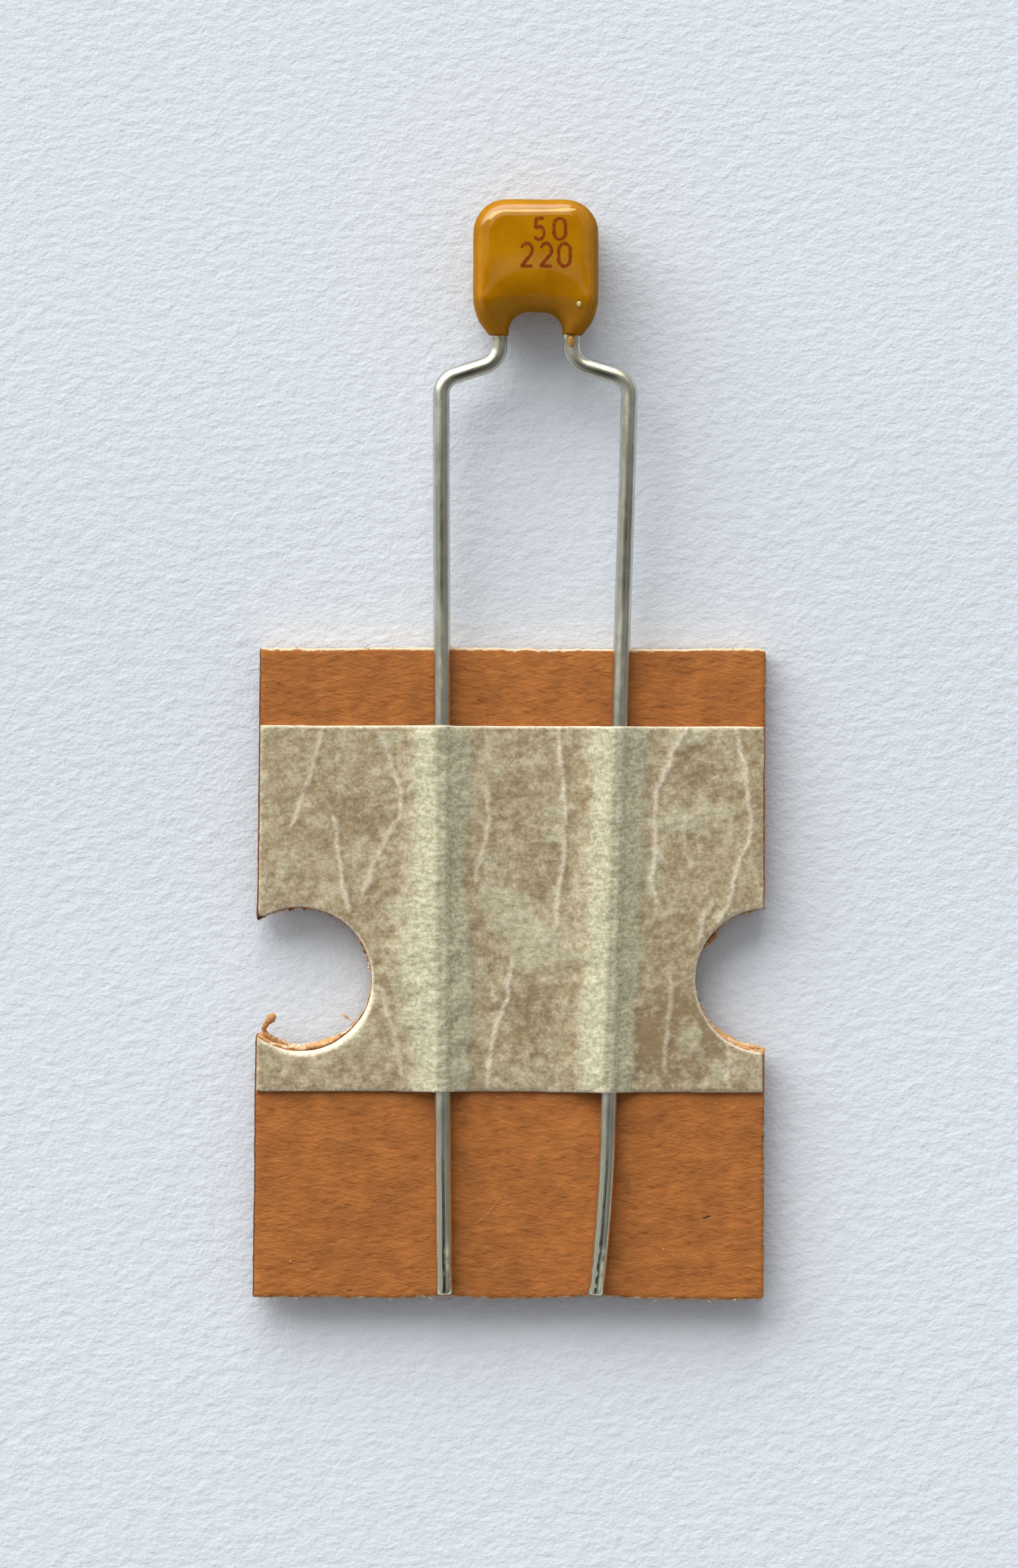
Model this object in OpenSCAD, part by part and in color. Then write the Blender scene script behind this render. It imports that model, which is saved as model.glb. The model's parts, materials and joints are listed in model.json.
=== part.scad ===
// Radial ceramic capacitor with kinked leads, on a cut piece of its carrier strip.
//
// Millimetres. The piece lies on its back. +X runs along the strip, +Y along the leads towards the body,
// +Z up. The origin is on the strip's back face, where the line through the feed holes crosses the
// component's centre line.

/* [Carrier strip] */
// Reach of the cut piece to the left of the component's centre line
strip_left = 7.5; // [7:0.05:9]
// Reach of the cut piece to the right of the component's centre line
strip_right = 6.25; // [5.6:0.05:9]
// How far the left cut leans outwards from the upper edge to the lower edge
strip_skew = 0.14; // [0:0.02:0.4]
// Height of the strip's upper edge above the line of the feed holes
edge_above = 8.95; // [8.6:0.05:9.4]
// Depth of the strip's lower edge below the line of the feed holes
edge_below = 8.6; // [8.4:0.05:9.4]
// Thickness of the strip
strip_t = 0.5; // [0.4:0.05:0.7]
// Diameter of the feed holes
feed_d = 3.9; // [3.8:0.1:4.2]
// Distance from one feed hole to the next
feed_pitch = 12.7; // [12.4:0.1:13]
// How far the component's centre line sits to the right of the middle between the feed holes
feed_shift = 0; // [-0.4:0.04:0.4]

/* [Hold-down tape] */
// Width of the tape, measured along the leads
tape_w = 9.95; // [6:0.05:10.5]
// Thickness of the tape
tape_t = 0.13; // [0.1:0.01:0.18]
// Bare strip between the strip's upper edge and the tape
tape_inset = 2.05; // [1:0.05:2.5]
// Half width of the flat of the tape that lies on a lead
tent_flat = 0.06; // [0.04:0.01:0.1]
// Distance from the middle of a lead to where the tape meets the strip
tent_reach = 1.2; // [0.9:0.05:1.4]

/* [Leads] */
// Diameter of the wire
wire_d = 0.46; // [0.4:0.02:0.56]
// Distance between the leads just below the kinks
leg_pitch = 5.1; // [4.8:0.02:5.6]
// Distance between the leads where they enter the body
foot_pitch = 1.98; // [1.8:0.02:2.2]
// Height of the kinks' lower ends above the line of the feed holes
kink_h = 15.85; // [15:0.05:17.5]
// Bend radius of the kinks, at the wire's centre line
kink_r = 0.55; // [0.4:0.05:0.6]
// Fall of the left kink below the strip's direction, in degrees
left_slope = 18; // [8:1:25]
// Fall of the right kink below the strip's direction, in degrees
right_slope = 17; // [8:1:25]
// Lean of the left leg towards the centre line, in degrees
left_lean = 0.3; // [0.1:0.1:1]
// Lean of the right leg towards the centre line, in degrees
right_lean = 1.5; // [0.1:0.1:2]
// Further turn of the left leg's lower end towards the centre line, in degrees
left_curl = 0.9; // [0.3:0.3:6]
// Further turn of the right leg's lower end towards the centre line, in degrees
right_curl = 5.4; // [0.3:0.3:6]
// Length over which the legs' lower ends turn
curl_l = 4.4; // [2:0.1:4.8]
// Bare strip between the legs' lower ends and the strip's lower edge
tail_gap = 0.17; // [0.05:0.01:0.5]
// Straight wire below a kink
neck_l = 0.9; // [0.5:0.1:1.5]
// Straight wire above the strip's upper edge
lift_gap = 0.3; // [0.1:0.1:1]

/* [Ceramic chip] */
// Height of the chip, along the leads
chip_h = 2; // [1.7:0.1:2.4]
// Thickness of the chip
chip_t = 1.25; // [1.1:0.05:1.4]
// Electrode plates on each side
plates = 3; // [2:1:4]
// Thickness of an electrode plate
plate_t = 0.03; // [0.02:0.005:0.04]
// Ceramic over the outermost plates
plate_cover = 0.2; // [0.15:0.01:0.3]
// Ceramic between a plate and the chip's other three edges
plate_margin = 0.22; // [0.15:0.01:0.3]
// Thickness of the terminations
cap_t = 0.05; // [0.03:0.01:0.08]
// Length of the terminations' bands on the chip's sides
cap_band = 0.35; // [0.25:0.01:0.45]
// Thickness of the solder between a lead and its termination
solder_t = 0.04; // [0.02:0.01:0.06]
// Spread of the solder on the termination, beyond its width at the lead
solder_spread = 0.12; // [0.05:0.01:0.2]
// Length of lead that lies along the chip
grip_l = 1.6; // [1:0.1:1.7]
// Length of that lead, from the chip's lower edge, that stays bare of solder
grip_bare = 0.15; // [0.05:0.05:0.3]

/* [Epoxy coating] */
// Coating outside each lead
coat_side = 0.47; // [0.4:0.01:0.6]
// Coating above the chip
coat_top = 0.47; // [0.35:0.01:0.7]
// Coating between the chip and the arch
coat_crown = 0.54; // [0.3:0.02:0.7]
// Coating over each face of the chip
coat_face = 0.5; // [0.4:0.02:0.6]
// Coating where it ends on a lead
coat_tip = 0.03; // [0.03:0.01:0.08]
// Radius of the body's top corners, seen from the front
corner_r = 0.95; // [0.6:0.05:1]
// Radius of the body's shoulders, seen from the front
shoulder_r = 0.6; // [0.45:0.05:0.7]
// Height of the shoulders' centres above the feet
shoulder_h = 0.95; // [0.8:0.05:1.1]
// Rounding of the rims, measured on the faces
rim_r = 0.4; // [0.2:0.02:0.44]
// Rounding of the rims, measured through the thickness
rim_z = 0.7; // [0.4:0.05:0.8]
// Height of the arch between the feet
arch_h = 0.72; // [0.66:0.02:0.9]
// Radius of the arch's shoulders
arch_r = 0.55; // [0.4:0.05:0.65]
// Widening of the arch towards the faces
arch_flare = 0.12; // [0.05:0.01:0.2]
// Straight wire between a kink and the feet
foot_gap = 0.22; // [0.1:0.01:0.5]

/* [Hidden] */
$fn = 48;
hull_fn = 32;     // for shapes inside a hull
tent_steps = 10;  // straight lengths on each side of a tent
rim_step = 18;    // degrees between the points of a rounded rim
wire_sides = 24;  // flats around the wire, with corners at its sides, top and bottom
bend_step = 12;   // most degrees between two rings of a bent wire
bend_least = 4;   // fewest stretches between the rings of a bend
eps = 0.01;       // overshoot of a cut, or thickness of a sliver that only shapes a hull

// Wire
wire_r = wire_d / 2;
foot_x = foot_pitch / 2;
leg_top_x = leg_pitch / 2;
leg_end_y = -edge_below + tail_gap;

// Body, from the feet upwards. Its back lies on the surface that the strip lies on.
feet_y = kink_h + max(kink_drop(left_slope, left_lean), kink_drop(right_slope, right_lean)) + foot_gap;
arch_half_w = foot_x - wire_r - coat_tip;
chip_y = feet_y + arch_h + coat_crown;
body_top = chip_y + chip_h + coat_top;
body_x = foot_x + wire_r + coat_side;
body_half_t = chip_t / 2 + coat_face;
lead_top = chip_y + grip_l;

// Inside
cap_x = foot_x - wire_r - solder_t;
chip_x = cap_x - cap_t;
plate_gap = (chip_t - 2 * plate_cover - plate_t) / (2 * plates - 1);

// The legs come down from the body's middle plane to lie on the strip, in an S of two arcs.
fall = body_half_t - strip_t - wire_r;
fall_span = kink_h - neck_l - edge_above - lift_gap;
fall_turn = 2 * atan(abs(fall) / fall_span);

// Tape
tape_top = edge_above - tape_inset;
tape_bottom = tape_top - tape_w;
tape_lap = 0.05;  // flat edge of a tent that runs into the flat tape

// Length of the straight stretch of a kink.
function kink_run(slope, lean) =
    let (turn = 90 - slope)
    (leg_top_x - foot_x - kink_r * (1 + cos(lean) - 2 * cos(turn))) / sin(turn);

// Height of a kink, from the leg to the foot.
function kink_drop(slope, lean) =
    let (turn = 90 - slope)
    kink_r * (2 * sin(turn) + sin(lean)) + kink_run(slope, lean) * cos(turn);

// Radius of an arc of a given length and turn.
function turn_radius(length, turn) = length * 180 / (turn * PI);

// Distance of a leg from the centre line, at the height y of its straight part.
function leg_x(lean, y) = leg_top_x - (kink_h - y) * tan(lean);

// Height of the tape's underside over the strip, at the distance x from the middle of a lead.
function tent_z(x) =
    let (run = max(0, abs(x) - tent_flat) / (tent_reach - tent_flat))
    wire_d * (1 + cos(180 * min(1, run))) / 2;

function move_m(v) = [[1, 0, 0, v[0]], [0, 1, 0, v[1]], [0, 0, 1, v[2]], [0, 0, 0, 1]];
function roll_m(a) = [[cos(a), -sin(a), 0, 0], [sin(a), cos(a), 0, 0], [0, 0, 1, 0], [0, 0, 0, 1]];
function pitch_m(a) = [[cos(a), 0, sin(a), 0], [0, 1, 0, 0], [-sin(a), 0, cos(a), 0], [0, 0, 0, 1]];

// Matrix that carries +Z along an arc. It bends towards +X turned by the roll.
function bend_m(turn, radius, roll) =
    roll_m(roll) * move_m([radius, 0, 0]) * pitch_m(turn) * move_m([-radius, 0, 0]) * roll_m(-roll);

// Matrix that carries +Z along a share of a step: [length] is a straight, [turn, radius, roll] a bend.
function step_m(step, share) =
    len(step) == 1 ? move_m([0, 0, step[0] * share]) : bend_m(step[0] * share, step[1], step[2]);

// Matrices of the rings of a wire that starts at the matrix at and runs through the steps.
function rings(steps, at, i = 0) =
    i == len(steps) ? [at] :
    let (
        step = steps[i],
        cuts = len(step) == 1 ? 1 : max(bend_least, ceil(step[0] / bend_step))
    )
    concat(
        [for (k = [0:cuts - 1]) at * step_m(step, k / cuts)],
        rings(steps, at * step_m(step, 1), i + 1)
    );

// Wire along +Z from the origin, bent by its steps.
module wire(steps) {
    ring = [
        for (k = [0:wire_sides - 1])
            let (a = 360 * k / wire_sides)
            [wire_r * cos(a), wire_r * sin(a), 0, 1]
    ];
    all = rings(steps, move_m([0, 0, 0]));
    points = [for (m = all) for (p = ring) let (q = m * p) [q[0], q[1], q[2]]];
    last = (len(all) - 1) * wire_sides;
    sides = [
        for (i = [0:len(all) - 2]) for (k = [0:wire_sides - 1])
            let (a = i * wire_sides + k, b = i * wire_sides + (k + 1) % wire_sides)
            [a, a + wire_sides, b + wire_sides, b]
    ];
    ends = [
        [for (k = [0:wire_sides - 1]) k],
        [for (k = [wire_sides - 1:-1:0]) last + k]
    ];
    polyhedron(points, concat(sides, ends));
}

// The right lead, from its upper end in the body down to its lower end on the strip.
module lead(slope, lean, curl) {
    outwards = 0;
    inwards = 180;
    down = fall > 0 ? -90 : 90;
    turn = 90 - slope;
    curl_r = turn_radius(curl_l, curl);
    tail_drop = curl_r * (sin(lean + curl) - sin(lean));
    fall_r = fall_span / (2 * sin(fall_turn));
    steps = concat(
        [
            [lead_top - kink_h - kink_drop(slope, lean)],
            [turn, kink_r, outwards],
            [kink_run(slope, lean)],
            [turn + lean, kink_r, inwards],
            [neck_l]
        ],
        abs(fall) < eps ? [[fall_span]] : [
            [fall_turn, fall_r, down],
            [fall_turn, fall_r, down + 180]
        ],
        [
            [(kink_h - leg_end_y - tail_drop) / cos(lean) - neck_l - fall_span],
            [curl, curl_r, inwards]
        ]
    );
    translate([foot_x, lead_top, body_half_t]) rotate([90, 0, 0]) wire(steps);
}

module lead_right() {
    color("#8f8f88") lead(right_slope, right_lean, right_curl);
}

module lead_left() {
    color("#8f8f88") mirror([1, 0, 0]) lead(left_slope, left_lean, left_curl);
}

// Outline of the cut strip, with its half feed holes.
module strip_outline() {
    difference() {
        polygon([
            [-strip_left - strip_skew / 2, -edge_below],
            [strip_right, -edge_below],
            [strip_right, edge_above],
            [-strip_left + strip_skew / 2, edge_above]
        ]);
        for (side = [-1, 1]) translate([side * feed_pitch / 2 - feed_shift, 0]) circle(d = feed_d);
    }
}

module carrier_strip() {
    color("#ab6a33") linear_extrude(strip_t) strip_outline();
}

// Places its child on the right leg, turned along it, halfway up the tape.
module on_leg(lean) {
    middle = (tape_top + tape_bottom) / 2;
    translate([leg_x(lean, middle), middle, 0]) rotate([0, 0, -lean]) children();
}

// Tape where it bridges from a lead down to the strip on both sides.
module tent() {
    half_w = tent_reach + tape_lap;
    dx = (tent_reach - tent_flat) / tent_steps;
    slope = [for (i = [0:tent_steps]) tent_flat + i * dx];
    xs = concat([-half_w], [for (i = [tent_steps:-1:0]) -slope[i]], slope, [half_w]);
    under = [for (x = xs) [x, tent_z(x)]];
    over = [for (i = [len(xs) - 1:-1:0]) [xs[i], tent_z(xs[i]) + tape_t]];
    rotate([90, 0, 0]) linear_extrude(2 * tape_w, center = true) polygon(concat(under, over));
}

module hold_down_tape() {
    leans = [[0, right_lean], [1, left_lean]];
    color("#b8a88a") translate([0, 0, strip_t]) intersection() {
        union() {
            linear_extrude(tape_t) difference() {
                strip_outline();
                for (leg = leans) mirror([leg[0], 0]) on_leg(leg[1])
                    square([2 * tent_reach, 2 * tape_w], center = true);
            }
            for (leg = leans) mirror([leg[0], 0, 0]) on_leg(leg[1]) tent();
        }
        linear_extrude(wire_d + 2 * tape_t) intersection() {
            strip_outline();
            translate([-strip_left - strip_skew, tape_bottom])
                square([strip_left + strip_right + 2 * strip_skew, tape_w]);
        }
    }
}

// A block of the chip's height, between two x and grown by a margin, centred through the thickness.
module chip_block(x0, x1, margin) {
    translate([x0, chip_y - margin, body_half_t - chip_t / 2 - margin])
        cube([x1 - x0, chip_h + 2 * margin, chip_t + 2 * margin]);
}

// The right side's plates: every second one of the stack, joined to the right termination.
module plate_stack(first) {
    for (i = [first:2:2 * plates - 1])
        translate([
            -chip_x + plate_margin,
            chip_y + plate_margin,
            body_half_t - chip_t / 2 + plate_cover + i * plate_gap
        ])
            cube([2 * chip_x - plate_margin, chip_h - 2 * plate_margin, plate_t]);
}

module electrodes_right() {
    color("#6f6a60") plate_stack(0);
}

module electrodes_left() {
    color("#6f6a60") mirror([1, 0, 0]) plate_stack(1);
}

module ceramic_chip() {
    color("#c9b48a") difference() {
        chip_block(-chip_x, chip_x, 0);
        plate_stack(0);
        mirror([1, 0, 0]) plate_stack(1);
    }
}

module termination() {
    difference() {
        chip_block(chip_x - cap_band, cap_x, cap_t);
        chip_block(-chip_x, chip_x, 0);
    }
}

module termination_right() {
    color("#b9bab8") termination();
}

module termination_left() {
    color("#b9bab8") mirror([1, 0, 0]) termination();
}

// Fillet of solder between the right lead and its termination.
module solder() {
    at_lead = wire_r + solder_t;
    at_cap = at_lead + solder_spread;
    translate([0, lead_top, body_half_t]) rotate([90, 0, 0]) linear_extrude(grip_l - grip_bare)
        difference() {
            polygon([[cap_x, -at_cap], [foot_x, -at_lead], [foot_x, at_lead], [cap_x, at_cap]]);
            translate([foot_x, 0]) circle(r = wire_r);
        }
}

module solder_right() {
    color("#a3a6a8") solder();
}

module solder_left() {
    color("#a3a6a8") mirror([1, 0, 0]) solder();
}

// Round slab with a rounded rim, centred on the body's middle plane.
module coin(r) {
    half = [
        for (a = [0:rim_step:90])
            [r - rim_r * (1 - sin(a)), body_half_t - rim_z * (1 - cos(a))]
    ];
    lower = [for (i = [len(half) - 1:-1:0]) [half[i][0], -half[i][1]]];
    rotate_extrude($fn = hull_fn) polygon(concat([[0, body_half_t]], half, lower, [[0, -body_half_t]]));
}

// Outer shape of the dipped body with its two feet, before the arch is taken out between them.
module dipped_shape() {
    translate([0, 0, body_half_t]) hull() for (side = [-1, 1]) {
        translate([side * (body_x - corner_r), body_top - corner_r, 0]) coin(corner_r);
        translate([side * (body_x - shoulder_r), feet_y + shoulder_h, 0]) coin(shoulder_r);
        translate([side * foot_x, feet_y + eps, 0]) rotate([90, 0, 0])
            cylinder(h = eps, r = wire_r + coat_tip, $fn = hull_fn);
    }
}

// Places its child at both shoulders of the arch, lowered by a drop.
module at_shoulders(r, drop = 0) {
    for (side = [-1, 1]) translate([side * (arch_half_w - r), arch_h - r - drop]) children();
}

// The arch between the feet, open below them and widening towards both faces.
module arch() {
    r = min(arch_r, arch_half_w);
    neck = wire_r + coat_tip + eps;
    flare_h = body_half_t - neck + eps;
    translate([0, feet_y, body_half_t]) {
        linear_extrude(2 * body_half_t + 2 * eps, center = true) {
            at_shoulders(r) circle(r);
            translate([-arch_half_w, -arch_h]) square([2 * arch_half_w, 2 * arch_h - r]);
            translate([r - arch_half_w, 0]) square([2 * (arch_half_w - r) + eps, arch_h]);
        }
        for (side = [0, 1]) mirror([0, 0, side]) translate([0, 0, neck]) hull()
            for (drop = [0, arch_h]) at_shoulders(r, drop)
                cylinder(h = flare_h, r1 = r, r2 = r + arch_flare, $fn = hull_fn);
    }
}

module epoxy_coating() {
    color("#a9720c") difference() {
        dipped_shape();
        arch();
        chip_block(-chip_x, chip_x, 0);
        for (side = [0, 1]) mirror([side, 0, 0]) {
            chip_block(chip_x - cap_band, cap_x, cap_t);
            solder();
            translate([foot_x, lead_top, body_half_t]) rotate([90, 0, 0])
                cylinder(h = lead_top - feet_y + eps, r = wire_r);
        }
    }
}

carrier_strip();
hold_down_tape();
lead_left();
lead_right();
ceramic_chip();
electrodes_left();
electrodes_right();
termination_left();
termination_right();
solder_left();
solder_right();
epoxy_coating();
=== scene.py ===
"""Dresses the packed radial ceramic capacitor on its piece of carrier strip.

Lengths in the code are millimetres in the packed model's frame: +X along the strip, +Y along the leads
towards the body, +Z up. x is 0 midway between the leads and y is 0 at the notches' centres. Meshes are
made in metres.
"""

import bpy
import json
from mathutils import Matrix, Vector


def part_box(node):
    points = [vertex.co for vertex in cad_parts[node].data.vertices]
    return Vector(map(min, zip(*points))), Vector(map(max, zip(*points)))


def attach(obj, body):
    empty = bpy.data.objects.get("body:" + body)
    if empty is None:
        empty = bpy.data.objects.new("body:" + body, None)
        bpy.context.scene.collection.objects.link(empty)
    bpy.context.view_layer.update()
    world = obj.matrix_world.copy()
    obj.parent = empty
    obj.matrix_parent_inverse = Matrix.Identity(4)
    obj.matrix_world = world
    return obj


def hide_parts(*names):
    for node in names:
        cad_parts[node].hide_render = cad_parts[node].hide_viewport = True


bl_info = {
    "name": "Radial capacitor on carrier strip",
    "version": (1, 0, 0),
    "blender": (4, 5, 0),
    "location": "View3D > Sidebar > Capacitor",
    "description": "Builds the dipped body, its leads, the hold-down tape and the carrier strip",
    "category": "Add Mesh",
}

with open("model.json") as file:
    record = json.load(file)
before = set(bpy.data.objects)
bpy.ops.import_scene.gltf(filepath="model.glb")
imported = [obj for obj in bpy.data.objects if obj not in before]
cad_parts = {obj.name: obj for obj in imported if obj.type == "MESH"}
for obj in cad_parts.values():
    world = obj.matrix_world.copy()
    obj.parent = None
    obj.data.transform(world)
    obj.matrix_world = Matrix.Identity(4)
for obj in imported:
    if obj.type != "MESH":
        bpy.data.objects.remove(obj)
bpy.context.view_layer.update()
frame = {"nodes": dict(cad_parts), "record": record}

import json
import math
from types import SimpleNamespace

import bpy
import numpy as np
from mathutils import Vector
from mathutils.geometry import delaunay_2d_cdt
from mathutils.kdtree import KDTree

MM = 0.001


def linear(code):
    """Linear red, green and blue of an sRGB hex colour."""
    parts = [int(code[i:i + 2], 16) / 255 for i in (1, 3, 5)]
    return tuple(c / 12.92 if c <= 0.04045 else ((c + 0.055) / 1.055) ** 2.4 for c in parts)


def node_box(node):
    """Lowest and highest corners of a CAD node, in millimetres."""
    low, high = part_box(node)
    return np.array(low) / MM, np.array(high) / MM


def mount(name):
    """A mount of the packed record by its name."""
    return next(m for m in frame["record"]["mounts"] if m["name"] == name)


STRIP_LOW, STRIP_HIGH = node_box("carrier_strip")
TAPE_LOW, TAPE_HIGH = node_box("hold_down_tape")
BODY_LOW, BODY_HIGH = node_box("epoxy_coating")
WIRE_R = mount("lead_pair")["dims"]["r_mm"]
LEG_TOP_X = mount("lead_pair")["dims"]["spacing_x_mm"] / 2
NOTCH_R = mount("feed_notch_left")["dims"]["r_mm"]
NOTCHES = [(mount(name)["pos_m"][0] / MM, 0.0) for name in ("feed_notch_left", "feed_notch_right")]
MID_Z = (BODY_LOW[2] + BODY_HIGH[2]) / 2
AXES = np.eye(3)


def length(name, mm, text):
    """A length property whose default is given in millimetres."""
    return bpy.props.FloatProperty(name=name, description=text, default=mm * MM, unit="LENGTH", precision=5)


def turn(name, degrees, text):
    """An angle property whose default is given in degrees."""
    return bpy.props.FloatProperty(
        name=name, description=text, default=math.radians(degrees), subtype="ANGLE", unit="ROTATION")


def tint(name, code, text):
    """A colour property whose default is an sRGB hex colour."""
    return bpy.props.FloatVectorProperty(
        name=name, description=text, default=linear(code), subtype="COLOR", size=3, min=0, max=1)


class CAP_PG_strip(bpy.types.PropertyGroup):
    """Sizes and colours of the carrier strip."""
    skew: length("Left cut lean", 0.14, "How far the left cut leans outwards from top to bottom")
    fuzz: length("Edge fuzz", 0.012, "How far torn fibre makes the cut edges uneven")
    crush: length("Edge crush", 0.03, "How far the edges are pressed down by the cut")
    board: tint("Board", "#AC662A", "Colour of the board")
    fibre_pale: tint("Pale fibre", "#B87736", "Colour of the palest fibres")
    fibre_dark: tint("Dark fibre", "#8C4A14", "Colour of the darkest fibres")
    torn: tint("Torn fibre", "#CC9A64", "Colour inside the board, where it is torn")
    bleached: tint("Pressed edge", "#E2CDAA", "Colour of the pressed and fluffed edges")


class CAP_PG_tape(bpy.types.PropertyGroup):
    """Sizes and colours of the hold-down tape."""
    thickness: length("Thickness", 0.13, "Thickness of the tape")
    reach: length("Tent reach", 1.2, "Distance from a lead to where the tape meets the strip")
    crinkle: length("Crinkle", 0.016, "Height of the small crinkles")
    crease: length("Crease", 0.028, "Height of the sharp creases")
    bonded: tint("Bonded", "#AA9A7B", "Colour where the tape is stuck down")
    bonded_dark: tint("Bonded, dark", "#8F7959", "Darkest blotches where the tape is stuck down")
    bonded_pale: tint("Bonded, pale", "#C6B899", "Palest blotches where the tape is stuck down")
    lifted: tint("Lifted", "#BFBA9B", "Colour where the tape bridges and lets air under it")
    lifted_dark: tint("Lifted, dark", "#A6A180", "Darkest blotches where the tape bridges")
    lifted_pale: tint("Lifted, pale", "#D4CFB6", "Palest blotches where the tape bridges")
    edge: tint("Edge", "#F2EAD4", "Colour of the tape's cut edge and of its creases")


class CAP_PG_leads(bpy.types.PropertyGroup):
    """Sizes and colours of the leads."""
    foot_pitch: length("Foot pitch", 1.98, "Distance between the leads at the body")
    kink_h: length("Kink height", 15.85, "Height of the kinks above the line of the notches")
    kink_r: length("Kink radius", 0.55, "Bend radius of the kinks at the wire's centre line")
    left_slope: turn("Left slope", 18, "Fall of the left kink below the strip's direction")
    right_slope: turn("Right slope", 17, "Fall of the right kink below the strip's direction")
    left_lean: turn("Left lean", 0.3, "Lean of the left leg towards the centre line")
    right_lean: turn("Right lean", 1.5, "Lean of the right leg towards the centre line")
    left_curl: turn("Left curl", 0.9, "Further turn of the left leg's lower end")
    right_curl: turn("Right curl", 5.4, "Further turn of the right leg's lower end")
    curl_l: length("Curl length", 4.4, "Length over which the lower ends turn")
    tail_gap: length("Tail gap", 0.07, "Bare strip below the lower ends")
    neck_l: length("Neck", 0.9, "Straight wire below a kink")
    lift_gap: length("Lift gap", 0.3, "Straight wire above the strip's upper edge")
    tin: tint("Tin", "#D0D0C6", "Colour of the tin")
    tin_dull: tint("Dull tin", "#C0C1B6", "Colour of the oxidised and rubbed tin")
    # Painted sheen: a brighter tin for the lower ends, which stands in for their brighter reflections
    tin_bright: tint("Burnished tin", "#E0E1D2", "Colour of the tin where the cutter's holder burnished it")
    # Painted glint: a pale, dull colour for the patches that stand in for glints on the lower ends
    tin_scuffed: tint("Scuffed tin", "#DADEB4", "Colour of the tin where it is scuffed beside the cut")
    residue: tint("Residue", "#8C6A3A", "Colour of dried resin and dirt")


class CAP_PG_coating(bpy.types.PropertyGroup):
    """Sizes and colours of the dipped coating."""
    corner_r: length("Corner radius", 0.9, "Radius of the outline's corners, seen from the front")
    rim: length("Rim", 0.28, "Width of the rounding around the outline")
    arch_rim: length("Arch rim", 1.12, "Width of the rounding around the arch")
    bevel: length("Bevel", 0.45, "How far in from the outline the face starts to slope")
    bevel_tilt: turn("Bevel tilt", 16.5, "Slope of the face along the outline")
    arch_h: length("Arch height", 0.72, "Height of the arch between the feet")
    arch_r: length("Arch radius", 0.55, "Radius of the arch's shoulders")
    dome: length("Dome", 0.07, "How far the faces stand out in the middle")
    grid: length("Grid", 0.04, "Distance between the surface's points")
    epoxy: tint("Epoxy", "#B57903", "Colour of the cured epoxy")
    epoxy_thin: tint("Thin epoxy", "#B4601A", "Colour where the epoxy is a thin film")
    ink: tint("Ink", "#843000", "Colour of the printed numerals")
    stroke: length("Stroke", 0.085, "Width of the printed strokes")


class CAP_PG_stage(bpy.types.PropertyGroup):
    """Floor, light and camera."""
    floor_size: length("Floor size", 3000, "Width of the floor")
    sag: length("Paper sag", 0.35, "How far the floor's paper lies lower under the strip than under the body")
    paper: tint("Floor", "#E0E6EE", "Colour of the floor's paper")
    backdrop: tint("Backdrop", "#E4E8EE", "Colour of the far background")
    height: length("Camera height", 150.5, "Height of the camera above the floor")
    aim_x: length("Camera x", -0.68, "Place of the camera along the strip")
    aim_y: length("Camera y", 5.317, "Place of the camera along the leads")
    frame_w: length("Frame width", 27.68, "Width of the view at the strip's upper face")
    roll: turn("Camera roll", 0.18, "Turn of the camera about its own axis")


GROUPS = {"strip": CAP_PG_strip, "tape": CAP_PG_tape, "leads": CAP_PG_leads,
          "coating": CAP_PG_coating, "stage": CAP_PG_stage}


class CAP_PG_capacitor(bpy.types.PropertyGroup):
    """All sizes and colours of the capacitor."""
    strip: bpy.props.PointerProperty(type=CAP_PG_strip, name="Carrier strip", description="Carrier strip")
    tape: bpy.props.PointerProperty(type=CAP_PG_tape, name="Tape", description="Hold-down tape")
    leads: bpy.props.PointerProperty(type=CAP_PG_leads, name="Leads", description="Leads")
    coating: bpy.props.PointerProperty(type=CAP_PG_coating, name="Coating", description="Dipped coating")
    stage: bpy.props.PointerProperty(type=CAP_PG_stage, name="Stage", description="Floor, light and camera")


def settings(key):
    """The values of a group, with its lengths in millimetres."""
    group = getattr(bpy.context.scene.capacitor, key)
    found = SimpleNamespace()
    for name in group.__annotations__:
        value, prop = getattr(group, name), group.bl_rna.properties[name]
        if prop.is_array:
            value = tuple(value)
        elif prop.unit == "LENGTH":
            value = value / MM
        setattr(found, name, value)
    return found


# ---------------------------------------------------------------- points and meshes

def hashed(cell, seed):
    """A fixed random value from -1 to 1 for each whole-numbered cell."""
    h = np.full(cell.shape[:-1], (seed * 7919 + 104729) & 0xFFFFFFFF, np.uint32)
    for axis in range(cell.shape[-1]):
        h ^= (cell[..., axis].astype(np.int64) & 0xFFFFFFFF).astype(np.uint32)
        h = (h * np.uint32(2654435761)) ^ (h >> np.uint32(15))
        h = (h * np.uint32(2246822519)) ^ (h >> np.uint32(13))
    return h.astype(float) / 2 ** 31 - 1


def drift(points, size, seed):
    """Smooth random values from about -1 to 1, in blotches of a size given per axis."""
    p = np.atleast_2d(np.asarray(points, float)) / size + 0.37
    base = np.floor(p)
    f = p - base
    f = f * f * f * (f * (f * 6 - 15) + 10)
    total = np.zeros(len(p))
    for corner in np.ndindex(*[2] * p.shape[1]):
        weight = np.prod(np.where(corner, f, 1 - f), axis=1)
        total += weight * hashed(base + corner, seed)
    return total


def waves(points, *parts):
    """A sum of drifts, each given as its height, size and seed."""
    return sum(height * drift(points, size, seed) for height, size, seed in parts)


def shaken(points, size, seed):
    """A drift for each of the points' axes."""
    return np.stack([drift(points, size, seed + k) for k in range(points.shape[1])], 1)


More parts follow.
